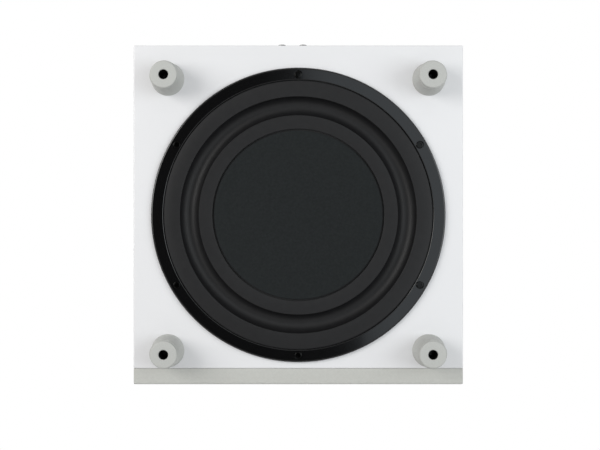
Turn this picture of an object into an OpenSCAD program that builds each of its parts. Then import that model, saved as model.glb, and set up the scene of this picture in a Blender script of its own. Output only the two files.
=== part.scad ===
// Compact powered subwoofer: a lacquered cabinet on four feet, a long-throw driver behind a cloth
// grille in the front, a passive radiator in the bottom and an amplifier plate in the back.
// Origin: centre of the bottom of the whole object, on the surface it stands on.
// +X to the right seen from the front, +Y to the back, +Z up. Front is -Y.

/* [Cabinet] */
// Outer width of the cabinet
cabinet_w = 350; // [340:1:430]
// Outer height of the cabinet without its feet
cabinet_h = 350; // [345:1:430]
// Depth of the cabinet without the grille
cabinet_d = 343; // [335:1:430]
// Thickness of the fibreboard panels
wall = 18; // [15:0.5:20]
// Thickness of the brace board
brace_t = 18; // [12:1:22]
// Height of the brace's lower edge above the cabinet's inner floor
brace_lift = 96; // [90:1:120]
// Width of the frame of board left round the brace's window
brace_rim = 30; // [20:1:45]
// Thickness of the wadding on the side walls
wadding_t = 24; // [15:1:30]

/* [Feet] */
// Height of a foot
foot_h = 36; // [25:1:45]
// Diameter of a foot where it meets the cabinet
foot_base_d = 35; // [32:0.5:37]
// Diameter of a foot at its tip
foot_tip_d = 28.5; // [26:0.5:31]
// Radius of the rounded edge at the tip
foot_edge_r = 1.6; // [0.5:0.1:3]
// Diameter of the screw well in a foot
foot_well_d = 10; // [9:0.2:12]
// Length left under the well, which the screw clamps
foot_seat_t = 10; // [6:0.5:14]
// Distance from a cabinet side to the foot's centre
foot_inset_x = 36.5; // [30:0.5:45]
// Distance from the back, and from the grille's face, to the foot's centre
foot_inset_y = 36; // [36:0.5:50]
// Diameter of a foot screw's shank
foot_screw_d = 6; // [5:0.5:7]

/* [Front grille] */
// Thickness of the grille with its cloth
grille_t = 17; // [14:0.5:22]
// Thickness of the stretched cloth
cloth_t = 0.6; // [0.4:0.1:1]
// Width and height of the opening in the grille frame
grille_open = 320; // [314:1:324]
// Length that each angled corner of the opening takes from its sides
grille_corner = 60; // [56:1:70]
// Distance of a peg from the grille's centre, sideways and up
peg_offset = 142; // [136:1:146]
// Diameter of a peg
peg_d = 8; // [6:0.5:9]
// Length of peg that stands out of the frame
peg_out = 10; // [8:0.5:11]
// Length of peg set into the frame
peg_in = 8; // [6:0.5:10]
// Wall of the rubber cup that takes a peg
cup_wall = 2.6; // [2:0.1:3.5]

/* [Driver and radiator rim] */
// Outer diameter of the die-cast flange
flange_d = 306; // [300:1:308]
// Thickness of the flange
flange_t = 5; // [4:0.5:7]
// Outer diameter of the glossy trim ring
trim_d = 312; // [309:1:314]
// Inner diameter of the trim ring
trim_in_d = 286; // [282:1:288]
// Height of the trim ring above the panel
trim_t = 4; // [3:0.5:5]
// Diameter of the circle of screws
screw_circle_d = 297; // [292:0.5:298]
// Number of screws in the rim
screw_count = 6; // [6:1:8]
// Diameter of a screw's well in the trim ring
screw_well_d = 8.7; // [8:0.1:9]
// Diameter of a screw's head
screw_head_d = 7.8; // [7:0.1:7.9]
// Height of a screw's head
screw_head_h = 2.3; // [2:0.1:3]
// Diameter of a screw's shank
screw_d = 4; // [3.5:0.1:4.5]
// Reach of a rim screw, from the panel's face to its tip
screw_len = 17; // [12:0.5:18]
// Thickness of the flat rubber ring inside the trim ring
edge_ring_t = 2; // [1:0.2:2.6]
// Outer diameter of the surround's roll
roll_d = 250.8; // [246:0.2:251]
// Inner diameter of the surround's roll
roll_in_d = 211.2; // [208:0.2:214]
// Thickness of the surround's rubber
rubber_t = 1.2; // [1:0.1:1.6]

/* [Passive radiator] */
// Inner diameter of the surround's lip on the radiator
radiator_lip_d = 182.4; // [180:0.2:190]
// Diameter of the flat centre disc
disc_d = 178.8; // [170:0.2:179]
// Thickness of the disc's facing
disc_t = 1.5; // [1.2:0.1:2]
// Outer radius of the neck at the back of the radiator's cone
neck_r = 30; // [27:0.5:34]
// Wall of the neck
neck_t = 1; // [0.8:0.1:1.5]
// Thickness of the steel tuning weight
weight_t = 12; // [8:1:16]

/* [Driver motor] */
// Inner diameter of the surround's lip on the driver
driver_lip_d = 192; // [188:0.2:200]
// Radius of the pole
pole_r = 24; // [22:0.2:25]
// Radial space between the pole and the voice coil former
pole_gap = 0.6; // [0.4:0.05:0.9]
// Wall of the former
former_t = 0.4; // [0.3:0.05:0.6]
// Radial depth of the winding
winding_t = 1.7; // [1.2:0.1:2]
// Length of the winding
winding_len = 22; // [16:1:24]
// Radial space between the winding and the top plate
winding_gap = 0.7; // [0.5:0.05:1]
// Radius of the top plate
top_plate_r = 70; // [64:1:74]
// Thickness of the top plate
top_plate_t = 8; // [6:0.5:9]
// Outer radius of the magnet
magnet_r = 78; // [72:1:82]
// Inner radius of the magnet
magnet_in_r = 42; // [36:1:46]
// Thickness of the magnet
magnet_t = 20; // [15:1:24]
// Thickness of the back plate
back_plate_t = 8; // [6:0.5:10]
// Radius of the vent through the pole
vent_r = 5; // [3:0.5:8]
// Radius of the dust cap
cap_r = 38; // [34:1:44]

/* [Baskets] */
// Depth of the spider's landing behind the panel's face
landing_z = 60; // [56:1:64]
// Outer radius of the spider's landing
landing_r = 92; // [90:1:96]
// Inner radius of the spider's landing
landing_in_r = 74; // [70:1:78]
// Number of spokes in a basket
spoke_count = 6; // [4:1:8]
// Width of a spoke
spoke_w = 16; // [10:1:22]
// Number of ripples in a spider
ripples = 5; // [3:1:7]
// Height of a spider's ripples above and below its middle
ripple_h = 1.8; // [1:0.1:2.4]
// Thickness of a spider's treated cloth
spider_t = 0.8; // [0.6:0.1:1]

/* [Amplifier] */
// Width of the amplifier plate
plate_w = 250; // [240:1:270]
// Height of the amplifier plate
plate_h = 290; // [285:1:300]
// Thickness of the amplifier plate
plate_t = 3; // [2.5:0.5:4]
// Depth of the amplifier's sealed tub behind the cabinet's back
tub_depth = 62; // [60:1:70]
// Wall of the tub
tub_wall = 2; // [1.5:0.5:3]
// Margin of the plate past the tub all round
tub_margin = 16; // [14:1:20]
// Distance from the plate to the circuit board
board_gap = 26.4; // [26:0.2:28]
// Thickness of the circuit board
board_t = 1.6; // [1.2:0.2:2]
// Height of the heat sink's fins above the plate
sink_h = 12; // [8:0.5:13]
// Number of fins on the heat sink
fin_count = 17; // [9:2:21]
// Thickness of a fin
fin_t = 2; // [1.5:0.1:3]
// Diameter of a control knob
knob_d = 22; // [16:0.5:26]
// Height of a control knob
knob_h = 13; // [10:0.5:14]
// Diameter of a knob's stem
stem_d = 6; // [5:0.5:7]
// Diameter of an audio socket's barrel
socket_d = 8.3; // [8.3:0.1:8.6]
// Length of an audio socket's barrel outside the plate
socket_out = 9.5; // [8:0.5:11]
// Distance between the two audio sockets
socket_pitch = 23.7; // [19:0.1:28]
// Distance from the amplifier plate's lower edge up to the audio sockets
socket_lift = 39; // [30:1:50]
// Play of the fuse drawer in its slot, each side
drawer_play = 0.2; // [0.1:0.05:0.3]

/* [Hidden] */
$fn = 96;

// Clearances: glued or seated joints, turning joints, loose holes, screws in their holes, soft
// pieces, and what cuts run past a face
seat_gap = 0.05;
turn_gap = 0.05;
loose_gap = 0.4;
screw_gap = 0.2;
soft_gap = 0.3;
past = 1;

// Rubber cups for the grille's pegs
cup_r = peg_d / 2 + cup_wall;
cup_floor = 1.2;
cup_h = peg_out + 0.8 + cup_floor;

// Overall places
rear_proud = plate_t + knob_h + 1;
overall_d = cabinet_d + grille_t;
front_y = -(overall_d + rear_proud) / 2;
baffle_y = front_y + grille_t;
back_y = front_y + overall_d;
middle_y = (front_y + back_y) / 2;
floor_z = foot_h + wall;
roof_z = foot_h + cabinet_h - wall;
inner_w = cabinet_w - 2 * wall;
inner_h = cabinet_h - 2 * wall;
unit_z = foot_h + cabinet_h / 2;

// What stands inside the cabinet: the brace behind the middle, and a pad of wadding on each side
brace_y = middle_y + 18;
pad_start = 56;
pad_end_gap = 4;
pad_top_gap = 8;
pilot_floor = 3;

// Feet and their screws
foot_mouth = 0.6;
foot_head_h = 5;
foot_key_r = 2.9;
foot_key_depth = 3;
foot_thread = wall - 5;
pilot_spare = 1;

// Levels and radii of the two sound units, counted inwards from the panel's face
flange_lap = 21.6;
skirt_r = flange_d / 2 - flange_lap;
skirt_in_r = roll_d / 2 + 2;
cutout_r = skirt_r + 2.5;
screw_start = 30;
screw_key_r = 1.9;
screw_key_depth = 1.5;
screw_sunk = 0.1;
spoke_start = 10;
spoke_foot = 18;
boss = [28, 8, 12];
boss_lift = 4;
boss_out = 3;
cup_shelf = 14;
blade_x = 7;
tinsel_r = 0.9;
lead_r = 1.3;
blade_z = landing_z + 9.6;
skirt_depth = 20;
landing_t = 4;
cup_depth = 20;
cup_wall_r = 6;
cone_rim_r = roll_in_d / 2 - rubber_t - soft_gap;
cone_rim_t = 2;
neck_depth = 44;
neck_end = landing_z + 12;
former_r = pole_r + pole_gap + former_t;
plate_level = landing_z + cup_depth;
magnet_level = plate_level + top_plate_t;
back_level = magnet_level + magnet_t;
coil_level = plate_level + top_plate_t / 2 - winding_len / 2;
former_start = 46;
former_end = coil_level + winding_len + 3;
driver_neck_z = 50;
shell_t = 1.4;
ring_hole_r = screw_d / 2 + screw_gap;

// Route of a tinsel lead from the strip to the cone: distance from the axis, and depth
tinsel_route = [
    [-95.5, 63.6], [-95.5, 57], [-92, 50], [-82, 46], [-70, 47], [-58, 44], [-48, 39.5]
];

// Amplifier places
amp_z = unit_z;
plate_back_y = back_y;
plate_face_y = back_y + plate_t;
board_y = back_y - board_gap - board_t;
tub_w = plate_w - 2 * tub_margin;
tub_h = plate_h - 2 * tub_margin;
control_drop = 46;
control_z = amp_z + plate_h / 2 - control_drop;
socket_z = amp_z - plate_h / 2 + socket_lift;
socket_x = 6.6;
gain_x = 72;
crossover_x = 22;
phase_x = -28;
mode_x = -66;
lens_x = -100;
post_x = 48;
post_up = 100;
inlet_x = -82;
inlet_lift = 62;
inlet_z = amp_z - plate_h / 2 + inlet_lift;
rocker_lift = 56;
rocker_z = inlet_z + rocker_lift;
tub_gap = 2;
post_r = 4;
lens_r = 2.5;
amp_screw_r = 1.75;
amp_screw_len = 10;
amp_screw_edge = 7;
amp_head_r = 3.4;
amp_head_h = 2;
socket_bore_r = 1.7;
socket_bore_depth = 7;
socket_nut_r = 6.6;
socket_nut_h = 1.2;
socket_body_wall = 0.8;
socket_back = 14;
stem_in = 7;
pot_r = 8.5;
pot_depth = 10;
pot_body = 10;
pot_neck = 3;

// Mains inlet, with the fuse drawer under the plug's cavity
inlet_flange = [34, 58];
inlet_body = [28, 50];
inlet_flange_t = 2.5;
inlet_depth = 22;
cavity = [24.5, 17];
cavity_depth = 16;
cavity_up = 10;
blade_len = 14;
drawer_size = [22, 9];
drawer_depth = 19;
drawer_down = 15;

// Rocker switch
rocker_flange = [24, 34];
rocker_body = [20, 30];
rocker_open = [16, 26];
rocker_depth = 18;
rocker_flange_t = 2;
rocker_tilt = 9;
rocker_pin_r = 1.5;
rocker_pin_in = 1.5;
rocker_pin_drop = 1;
rocker_floor = 3;

// Slide switches
lever_size = [5, 6];
lever_out = 3;
lever_in = 4;
lever_travel = 6;
switch_size = [20, 12, 9];

// ---------------------------------------------------------------- helpers

// Children drawn about the axis of the bottom radiator, local +Z into the cabinet
module on_bottom() {
    translate([0, middle_y, foot_h]) children();
}

// Children drawn about the axis of the front driver, local +Z into the cabinet
module on_front() {
    translate([0, baffle_y, unit_z]) rotate([-90, 0, 0]) children();
}

// Children drawn on the back at a place seen from behind, local +Z out of the cabinet
module on_back(x, z) {
    translate([x, plate_face_y, z]) rotate([-90, 0, 0]) children();
}

// Children repeated round the unit's axis
module around(count, start = 0) {
    for (i = [0:count - 1])
        rotate([0, 0, start + i * 360 / count]) children();
}

// A ring from one level to another
module ring(r_in, r_out, z0, z1) {
    rotate_extrude($fn = 180)
        polygon([[r_in, z0], [r_out, z0], [r_out, z1], [r_in, z1]]);
}

// A centred block with its depth running up from z0
module block(size, z0, depth) {
    translate([-size[0] / 2, -size[1] / 2, z0]) cube([size[0], size[1], depth]);
}

// Points of an arc in a profile
function arc(cx, cz, r, from, to, steps = 16) = [
    for (i = [0:steps])
        let (a = from + (to - from) * i / steps)
        [cx + r * cos(a), cz + r * sin(a)]
];

function unit(v) = v / norm(v);

// Catmull-Rom point between p1 and p2
function blend_point(p0, p1, p2, p3, t) =
    0.5 * (2 * p1 + (p2 - p0) * t + (2 * p0 - 5 * p1 + 4 * p2 - p3) * t * t
        + (3 * p1 - p0 - 3 * p2 + p3) * t * t * t);

// A route's own points with smooth points between them
function smooth(route, steps) = [
    for (i = [0:len(route) - 2], s = [0:steps - 1])
        blend_point(route[max(i - 1, 0)], route[i], route[i + 1],
            route[min(i + 2, len(route) - 1)], s / steps),
    route[len(route) - 1]
];

// An eight-sided tube swept along a route that never runs straight along X
module wire(route, r, steps = 5) {
    path = smooth(route, steps);
    last = len(path) - 1;
    sides = 8;
    rings = [
        for (i = [0:last])
            let (
                along = unit(path[min(i + 1, last)] - path[max(i - 1, 0)]),
                across = unit(cross(along, [1, 0, 0])),
                third = cross(along, across)
            )
            for (k = [0:sides - 1])
                let (a = 360 * k / sides)
                path[i] + r * (cos(a) * across + sin(a) * third)
    ];
    skin = [
        for (i = [0:last - 1], k = [0:sides - 1])
            let (n = (k + 1) % sides)
            [i * sides + k, (i + 1) * sides + k, (i + 1) * sides + n, i * sides + n]
    ];
    start_cap = [for (k = [0:sides - 1]) k];
    end_cap = [for (k = [sides - 1:-1:0]) last * sides + k];
    polyhedron(points = rings, faces = concat(skin, [start_cap, end_cap]));
}

// ---------------------------------------------------------------- cabinet

// Six pilot holes of one sound unit, from its panel's face to past the tips of the screws
module pilot_holes() {
    around(screw_count, screw_start)
        translate([screw_circle_d / 2, 0, 0])
        cylinder(r = screw_d / 2 + seat_gap, h = screw_len + pilot_spare);
}

// What a panel loses to one sound unit: a rebate, a through hole and six pilot holes
module unit_cutout() {
    translate([0, 0, -past])
        cylinder(r = flange_d / 2 + loose_gap, h = flange_t + past, $fn = 180);
    translate([0, 0, -past])
        cylinder(r = cutout_r, h = wall + 2 * past, $fn = 180);
    pilot_holes();
}

module lying_panel(z) {
    translate([-cabinet_w / 2, baffle_y, z]) cube([cabinet_w, cabinet_d, wall]);
}

module side_panel(x) {
    translate([x, baffle_y, floor_z]) cube([wall, cabinet_d, inner_h]);
}

module standing_panel(y) {
    translate([-inner_w / 2, y, floor_z]) cube([inner_w, wall, inner_h]);
}

module cabinet_top() {
    color("#e8e8ea") lying_panel(roof_z);
}

module cabinet_bottom() {
    color("#e8e8ea") difference() {
        lying_panel(foot_h);
        on_bottom() unit_cutout();
        at_feet() translate([0, 0, -past])
            cylinder(r = foot_screw_d / 2 + seat_gap, h = wall - pilot_floor + past);
    }
}

module cabinet_side_left() {
    color("#e6e6e8") side_panel(-cabinet_w / 2);
}

module cabinet_side_right() {
    color("#e6e6e8") side_panel(cabinet_w / 2 - wall);
}

module cabinet_front_baffle() {
    color("#e0e0e2") difference() {
        standing_panel(baffle_y);
        on_front() unit_cutout();
        on_bottom() pilot_holes();
        at_pegs() translate([0, 0, -past])
            cylinder(r = cup_r + 2 * seat_gap, h = cup_h + past + 1.5);
    }
}

module cabinet_back() {
    color("#e6e6e8") difference() {
        standing_panel(back_y - wall);
        translate([0, back_y - wall - past, amp_z]) rotate([-90, 0, 0])
            block([tub_w + 2 * tub_gap, tub_h + 2 * tub_gap], 0, wall + 2 * past);
        at_amp_screws() translate([0, 0, -plate_t - amp_screw_len - 2])
            cylinder(r = amp_screw_r + seat_gap, h = amp_screw_len + 4);
    }
}

// A window brace between the sides, hung from the top over the radiator
module cabinet_brace() {
    bottom = floor_z + brace_lift;
    height = roof_z - bottom;
    color("#b89a70") translate([0, brace_y, 0]) difference() {
        translate([-inner_w / 2, 0, bottom]) cube([inner_w, brace_t, height]);
        translate([-inner_w / 2 + brace_rim, -past, bottom + brace_rim])
            cube([inner_w - 2 * brace_rim, brace_t + 2 * past, height - 2 * brace_rim]);
    }
}

// Two pads of polyester wadding glued to the side walls in front of the brace
module acoustic_wadding() {
    pad_y = baffle_y + wall + pad_start;
    pad_z = floor_z + brace_lift;
    pad = [wadding_t, brace_y - pad_end_gap - pad_y, roof_z - pad_top_gap - pad_z];
    color("#dcdcd6") {
        translate([-inner_w / 2 + loose_gap, pad_y, pad_z]) cube(pad);
        translate([inner_w / 2 - loose_gap - wadding_t, pad_y, pad_z]) cube(pad);
    }
}

// ---------------------------------------------------------------- feet

// Centre of a foot: side is -1 left or 1 right, end is -1 front or 1 back
function foot_place(side, end) = [
    side * (cabinet_w / 2 - foot_inset_x),
    middle_y + end * (overall_d / 2 - foot_inset_y),
    0
];

module at_feet() {
    for (side = [-1, 1], end = [-1, 1])
        translate(foot_place(side, end) + [0, 0, foot_h]) children();
}

module foot(side, end) {
    tip_r = foot_tip_d / 2;
    well_r = foot_well_d / 2;
    hole_r = foot_screw_d / 2 + screw_gap + seat_gap;
    seat_z = foot_h - foot_seat_t;
    color("#bcbcb6") translate(foot_place(side, end)) rotate_extrude()
        polygon(concat(
            [[well_r + foot_mouth, 0]],
            arc(tip_r - foot_edge_r, foot_edge_r, foot_edge_r, -90, 0, 6),
            [[foot_base_d / 2, foot_h], [hole_r, foot_h], [hole_r, seat_z],
             [well_r, seat_z], [well_r, foot_mouth]]
        ));
}

module foot_front_left() { foot(-1, -1); }
module foot_front_right() { foot(1, -1); }
module foot_back_left() { foot(-1, 1); }
module foot_back_right() { foot(1, 1); }

// Socket-head screws up through the feet into the bottom panel
module foot_screws() {
    head_r = foot_well_d / 2 - soft_gap;
    color("#2a2a2c") at_feet() translate([0, 0, -foot_seat_t]) difference() {
        union() {
            translate([0, 0, -foot_head_h]) cylinder(r = head_r, h = foot_head_h);
            cylinder(r = foot_screw_d / 2, h = foot_seat_t + foot_thread);
        }
        translate([0, 0, -foot_head_h - past])
            cylinder(r = foot_key_r, h = foot_key_depth + past, $fn = 6);
    }
}

// ---------------------------------------------------------------- front grille

module at_pegs() {
    on_front() for (x = [-1, 1], y = [-1, 1])
        translate([x * peg_offset, y * peg_offset, 0]) children();
}

// Board frame with one large opening, whose angled corners leave room for the pegs
module grille_frame() {
    size = [cabinet_w - 2 * cloth_t, cabinet_h - 2 * cloth_t];
    depth = grille_t - cloth_t;
    side = grille_open / 2;
    cut = side - grille_corner;
    color("#9d9d98") difference() {
        on_front() block(size, -depth, depth);
        on_front() translate([0, 0, -depth - past]) linear_extrude(depth + 2 * past)
            polygon([[side, -cut], [side, cut], [cut, side], [-cut, side], [-side, cut],
                [-side, -cut], [-cut, -side], [cut, -side]]);
        at_pegs() translate([0, 0, -peg_in])
            cylinder(r = peg_d / 2 + seat_gap, h = peg_in + past);
    }
}

module grille_cloth() {
    inner = [cabinet_w - 2 * cloth_t, cabinet_h - 2 * cloth_t];
    color("#c4c4bf") on_front() difference() {
        block([cabinet_w, cabinet_h], -grille_t, grille_t);
        block(inner, -grille_t + cloth_t, grille_t + past);
    }
}

module grille_pegs() {
    color("#3a3a3c") at_pegs() {
        translate([0, 0, -peg_in]) cylinder(r = peg_d / 2, h = peg_in + peg_out - 1);
        translate([0, 0, peg_out - 1]) cylinder(r = peg_d / 2 - 0.8, h = 1);
    }
}

module grille_cups() {
    color("#1c1c1e") at_pegs() difference() {
        cylinder(r = cup_r, h = cup_h);
        translate([0, 0, -past])
            cylinder(r = peg_d / 2 + turn_gap, h = cup_h - cup_floor + past);
    }
}

// ---------------------------------------------------------------- parts both sound units share

// Socket-head screw whose shank ends at the same depth wherever its head sits
module rim_screw(head_top) {
    under = head_top + screw_head_h;
    root = 0.5;
    difference() {
        union() {
            translate([0, 0, head_top]) cylinder(r = screw_head_d / 2, h = screw_head_h);
            translate([0, 0, under - root])
                cylinder(r = screw_d / 2, h = screw_len + root - under);
        }
        translate([0, 0, head_top - past])
            cylinder(r = screw_key_r, h = screw_key_depth + past, $fn = 6);
    }
}

// Six screws through the trim ring below, six through the driver's flange in front
module rim_screws() {
    color("#1a1a1c") {
        on_bottom() around(screw_count, screw_start)
            translate([screw_circle_d / 2, 0, 0]) rim_screw(-trim_t + screw_sunk);
        on_front() around(screw_count, screw_start)
            translate([screw_circle_d / 2, 0, 0]) rim_screw(-screw_head_h);
    }
}

// Die-cast basket: flange, skirt, spokes and the spider's landing, with a motor cup if asked
module basket(with_cup) {
    outer_r = flange_d / 2;
    spoke_in_r = landing_r - 8;
    difference() {
        union() {
            ring(skirt_in_r, outer_r, 0, flange_t);
            ring(skirt_in_r, skirt_r, flange_t - 0.5, skirt_depth);
            intersection() {
                rotate_extrude($fn = 180) polygon([
                    [skirt_in_r, spoke_start], [skirt_r, spoke_start], [skirt_r, spoke_foot],
                    [landing_r, landing_z + landing_t], [spoke_in_r, landing_z + landing_t],
                    [spoke_in_r, landing_z]
                ]);
                around(spoke_count) translate([0, -spoke_w / 2, 0])
                    cube([skirt_r + past, spoke_w, landing_z + landing_t + past]);
            }
            ring(landing_in_r, landing_r, landing_z, landing_z + landing_t);
            if (with_cup) motor_cup();
        }
        around(screw_count, screw_start)
            translate([screw_circle_d / 2, 0, -past])
            cylinder(r = ring_hole_r, h = flange_t + 2 * past);
    }
}

// The cup that holds the magnet, with a flat boss for the terminals
module motor_cup() {
    ring(landing_r - cup_wall_r, landing_r, landing_z, plate_level);
    ring(top_plate_r - cup_shelf, landing_r, plate_level - landing_t, plate_level);
    translate([-boss[0] / 2, -landing_r - boss_out, landing_z + boss_lift]) cube(boss);
}

module edge_ring() {
    ring(roll_d / 2, trim_in_d / 2 - soft_gap, -rubber_t - edge_ring_t, -rubber_t);
}

// Rubber surround: flat rim, a half roll sunk into the cabinet, and a lip on the cone
module surround(lip_r) {
    outer_r = roll_d / 2;
    inner_r = roll_in_d / 2;
    mean_r = (outer_r + inner_r) / 2;
    roll_r = (outer_r - inner_r) / 2;
    rim_r = trim_in_d / 2 - 2;
    back_r = roll_r + rubber_t;
    start = asin(rubber_t / back_r);
    rotate_extrude($fn = 180) polygon(concat(
        [[lip_r, -rubber_t]],
        arc(mean_r, -rubber_t, roll_r, 180, 0, 24),
        [[rim_r, -rubber_t], [rim_r, 0]],
        arc(mean_r, -rubber_t, back_r, start, 180 - start, 24),
        [[lip_r, 0]]
    ));
}

// Rippled suspension between the landing and the neck or the former
module spider(inner_r) {
    rim_in = landing_in_r + 1;
    rim_out = landing_r - 8.5;
    flat = 3;
    level = landing_z - spider_t;
    steps = ripples * 8;
    ripple_in = inner_r + flat;
    span = rim_in - ripple_in;
    wave = [for (i = [0:steps])
        [ripple_in + span * i / steps, level + ripple_h * sin(360 * ripples * i / steps)]];
    rotate_extrude($fn = 120) polygon(concat(
        [[inner_r + seat_gap, level]], wave, [[rim_out, level], [rim_out, level + spider_t]],
        [for (i = [steps:-1:0]) wave[i] + [0, spider_t]],
        [[inner_r + seat_gap, level + spider_t]]
    ));
}

// ---------------------------------------------------------------- passive radiator

module radiator_trim_ring() {
    r_in = trim_in_d / 2;
    r_out = trim_d / 2;
    edge = 1.8;
    color("#0e0e10") on_bottom() difference() {
        rotate_extrude($fn = 180) polygon(concat(
            [[r_in, 0]],
            arc(r_in + 0.8, -trim_t + 0.8, 0.8, 180, 270, 4),
            arc(r_out - edge, -trim_t + edge, edge, 270, 360, 6),
            [[r_out, 0]]
        ));
        around(screw_count, screw_start)
            translate([screw_circle_d / 2, 0, -trim_t - past]) {
            cylinder(r = screw_well_d / 2, h = screw_head_h + screw_sunk + past);
            cylinder(r = ring_hole_r, h = trim_t + 2 * past);
        }
    }
}

module radiator_frame() {
    color("#2b2b2d") on_bottom() basket(false);
}

module radiator_edge_ring() {
    color("#303031") on_bottom() edge_ring();
}

module radiator_surround() {
    color("#26272a") on_bottom() surround(radiator_lip_d / 2);
}

// Pressed cone with a flat rim that carries the surround's lip and the disc
module radiator_cone() {
    seat_w = 5.4;
    inner_r = disc_d / 2 - seat_w;
    color("#323234") on_bottom() rotate_extrude($fn = 180) polygon([
        [inner_r, 0], [cone_rim_r, 0], [cone_rim_r, cone_rim_t], [inner_r + 1, cone_rim_t],
        [neck_r + seat_gap, neck_depth + shell_t], [neck_r + seat_gap, neck_depth - 1]
    ]);
}

// Flat woven facing on a stiff core
module radiator_disc() {
    disc_r = disc_d / 2;
    core_r = disc_r - 13;
    core_t = 3;
    edge = 0.3;
    color("#262a2a") on_bottom() rotate_extrude($fn = 180) polygon([
        [0, -disc_t], [disc_r - edge, -disc_t], [disc_r, -disc_t + edge],
        [disc_r, 0], [core_r, 0], [core_r, core_t], [0, core_t]
    ]);
}

// Neck that ties the cone to the spider, with a floor for the weight
module radiator_neck() {
    color("#8a7048") on_bottom() {
        rotate_extrude() polygon([
            [0, neck_depth], [neck_r - neck_t, neck_depth],
            [neck_r - neck_t, neck_end], [neck_r, neck_end],
            [neck_r, neck_depth - 2], [0, neck_depth - 2]
        ]);
    }
}

module radiator_spider() {
    color("#c9a45c") on_bottom() spider(neck_r);
}

module radiator_weight() {
    key_depth = 4;
    color("#8d9094") on_bottom() difference() {
        translate([0, 0, neck_depth])
            cylinder(r = neck_r - neck_t - seat_gap, h = weight_t);
        translate([0, 0, neck_depth + weight_t - key_depth])
            cylinder(r = 5, h = key_depth + past, $fn = 6);
    }
}

// ---------------------------------------------------------------- driver

module driver_frame() {
    color("#2b2b2d") on_front() basket(true);
}

module driver_edge_ring() {
    color("#303031") on_front() edge_ring();
}

module driver_surround() {
    color("#26272a") on_front() surround(driver_lip_d / 2);
}

// Level of the cone's front face at a radius
function cone_level(r) =
    cone_rim_t - shell_t + (driver_neck_z - cone_rim_t + shell_t)
    * (driver_lip_d / 2 - 2 - r) / (driver_lip_d / 2 - 2 - former_r);

module driver_cone() {
    inner_r = driver_lip_d / 2 - 2;
    color("#1f1f21") on_front() rotate_extrude($fn = 180) polygon([
        [inner_r, 0], [cone_rim_r, 0], [cone_rim_r, cone_rim_t], [inner_r, cone_rim_t],
        [former_r + seat_gap, driver_neck_z + shell_t], [former_r + seat_gap, driver_neck_z],
        [inner_r, cone_level(inner_r)]
    ]);
}

module driver_dust_cap() {
    foot_w = 3;
    lift = 0.1;
    dome_h = 12;
    edge_z = cone_level(cap_r) - lift;
    skin = 0.8;
    big_r = (cap_r * cap_r + dome_h * dome_h) / (2 * dome_h);
    half = asin(cap_r / big_r);
    top_z = edge_z - dome_h;
    color("#1b1b1d") on_front() rotate_extrude($fn = 120) polygon(concat(
        arc(0, top_z + big_r, big_r, -90, -90 + half, 12),
        [[cap_r + foot_w, cone_level(cap_r + foot_w) - lift - skin],
         [cap_r + foot_w, cone_level(cap_r + foot_w) - lift],
         [cap_r, edge_z + 0.01]],
        arc(0, top_z + skin + big_r, big_r, -90 + half * 0.96, -90, 12)
    ));
}

module voice_coil_former() {
    color("#caa878") on_front() ring(former_r - former_t, former_r, former_start, former_end);
}

module voice_coil_winding() {
    color("#b3612c") on_front()
        ring(former_r + 0.02, former_r + winding_t, coil_level, coil_level + winding_len);
}

module driver_spider() {
    color("#c9a45c") on_front() spider(former_r);
}

module top_plate() {
    color("#9a9da1") on_front()
        ring(former_r + winding_t + winding_gap, top_plate_r, plate_level, magnet_level);
}

module ferrite_magnet() {
    edge = 1.5;
    color("#3b3b3e") on_front() rotate_extrude($fn = 120) polygon([
        [magnet_in_r, magnet_level], [magnet_r - edge, magnet_level],
        [magnet_r, magnet_level + edge], [magnet_r, back_level - edge],
        [magnet_r - edge, back_level], [magnet_in_r, back_level]
    ]);
}

// Back plate and pole turned in one, with a vent
module pole_piece() {
    color("#9a9da1") on_front() rotate_extrude($fn = 120) polygon([
        [vent_r, plate_level], [pole_r - 1, plate_level], [pole_r, plate_level + 1],
        [pole_r, back_level], [top_plate_r + 2, back_level],
        [top_plate_r + 2, back_level + back_plate_t - 2],
        [top_plate_r, back_level + back_plate_t], [vent_r + 3, back_level + back_plate_t],
        [vent_r, back_level + back_plate_t - 3]
    ]);
}

// Fibre strip with two brass blades, flat on the cup's boss
module terminal_strip() {
    strip = [24, 2.5, 10];
    blade = [4.8, 11, 0.8];
    blade_root = 2;
    strip_y = -landing_r - boss_out;
    blade_y = strip_y - blade_root - blade[1];
    color("#6b4a2a") on_front() {
        translate([-strip[0] / 2, strip_y - strip[1], landing_z + 5]) cube(strip);
        for (x = [-blade_x, blade_x])
            translate([x - blade[0] / 2, blade_y, blade_z]) cube(blade);
    }
}

// Two woven leads from the strip to the cone
module tinsel_leads() {
    color("#a5764a") on_front() for (x = [-blade_x, blade_x])
        wire([for (p = tinsel_route) [x, p[0], p[1]]], tinsel_r, 3);
}

// Two insulated leads from the amplifier's tub, through the brace, to the strip
module speaker_wires() {
    end_y = back_y - tub_depth;
    start_y = baffle_y + blade_z + 1.8;
    top_z = unit_z + landing_r + 10;
    color("#a02822") for (x = [-1, 1]) wire([
        [blade_x * x, start_y, top_z], [blade_x * x, start_y + 14, top_z + 2],
        [6 * x, start_y + 40, top_z + 6], [8 + 4 * x, middle_y, top_z],
        [16 + 3 * x, brace_y + 9, top_z - 12], [26 + 3 * x, end_y - 40, top_z - 24],
        [30 + 3 * x, end_y - 14, top_z - 30], [30 + 3 * x, end_y, top_z - 30]
    ], lead_r, 4);
}

// ---------------------------------------------------------------- amplifier

module at_amp_screws() {
    step = (plate_h / 2 - amp_screw_edge) / 2;
    for (x = [-1, 1], k = [-2:2])
        on_back(x * (plate_w / 2 - amp_screw_edge), amp_z + k * step) children();
}

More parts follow.
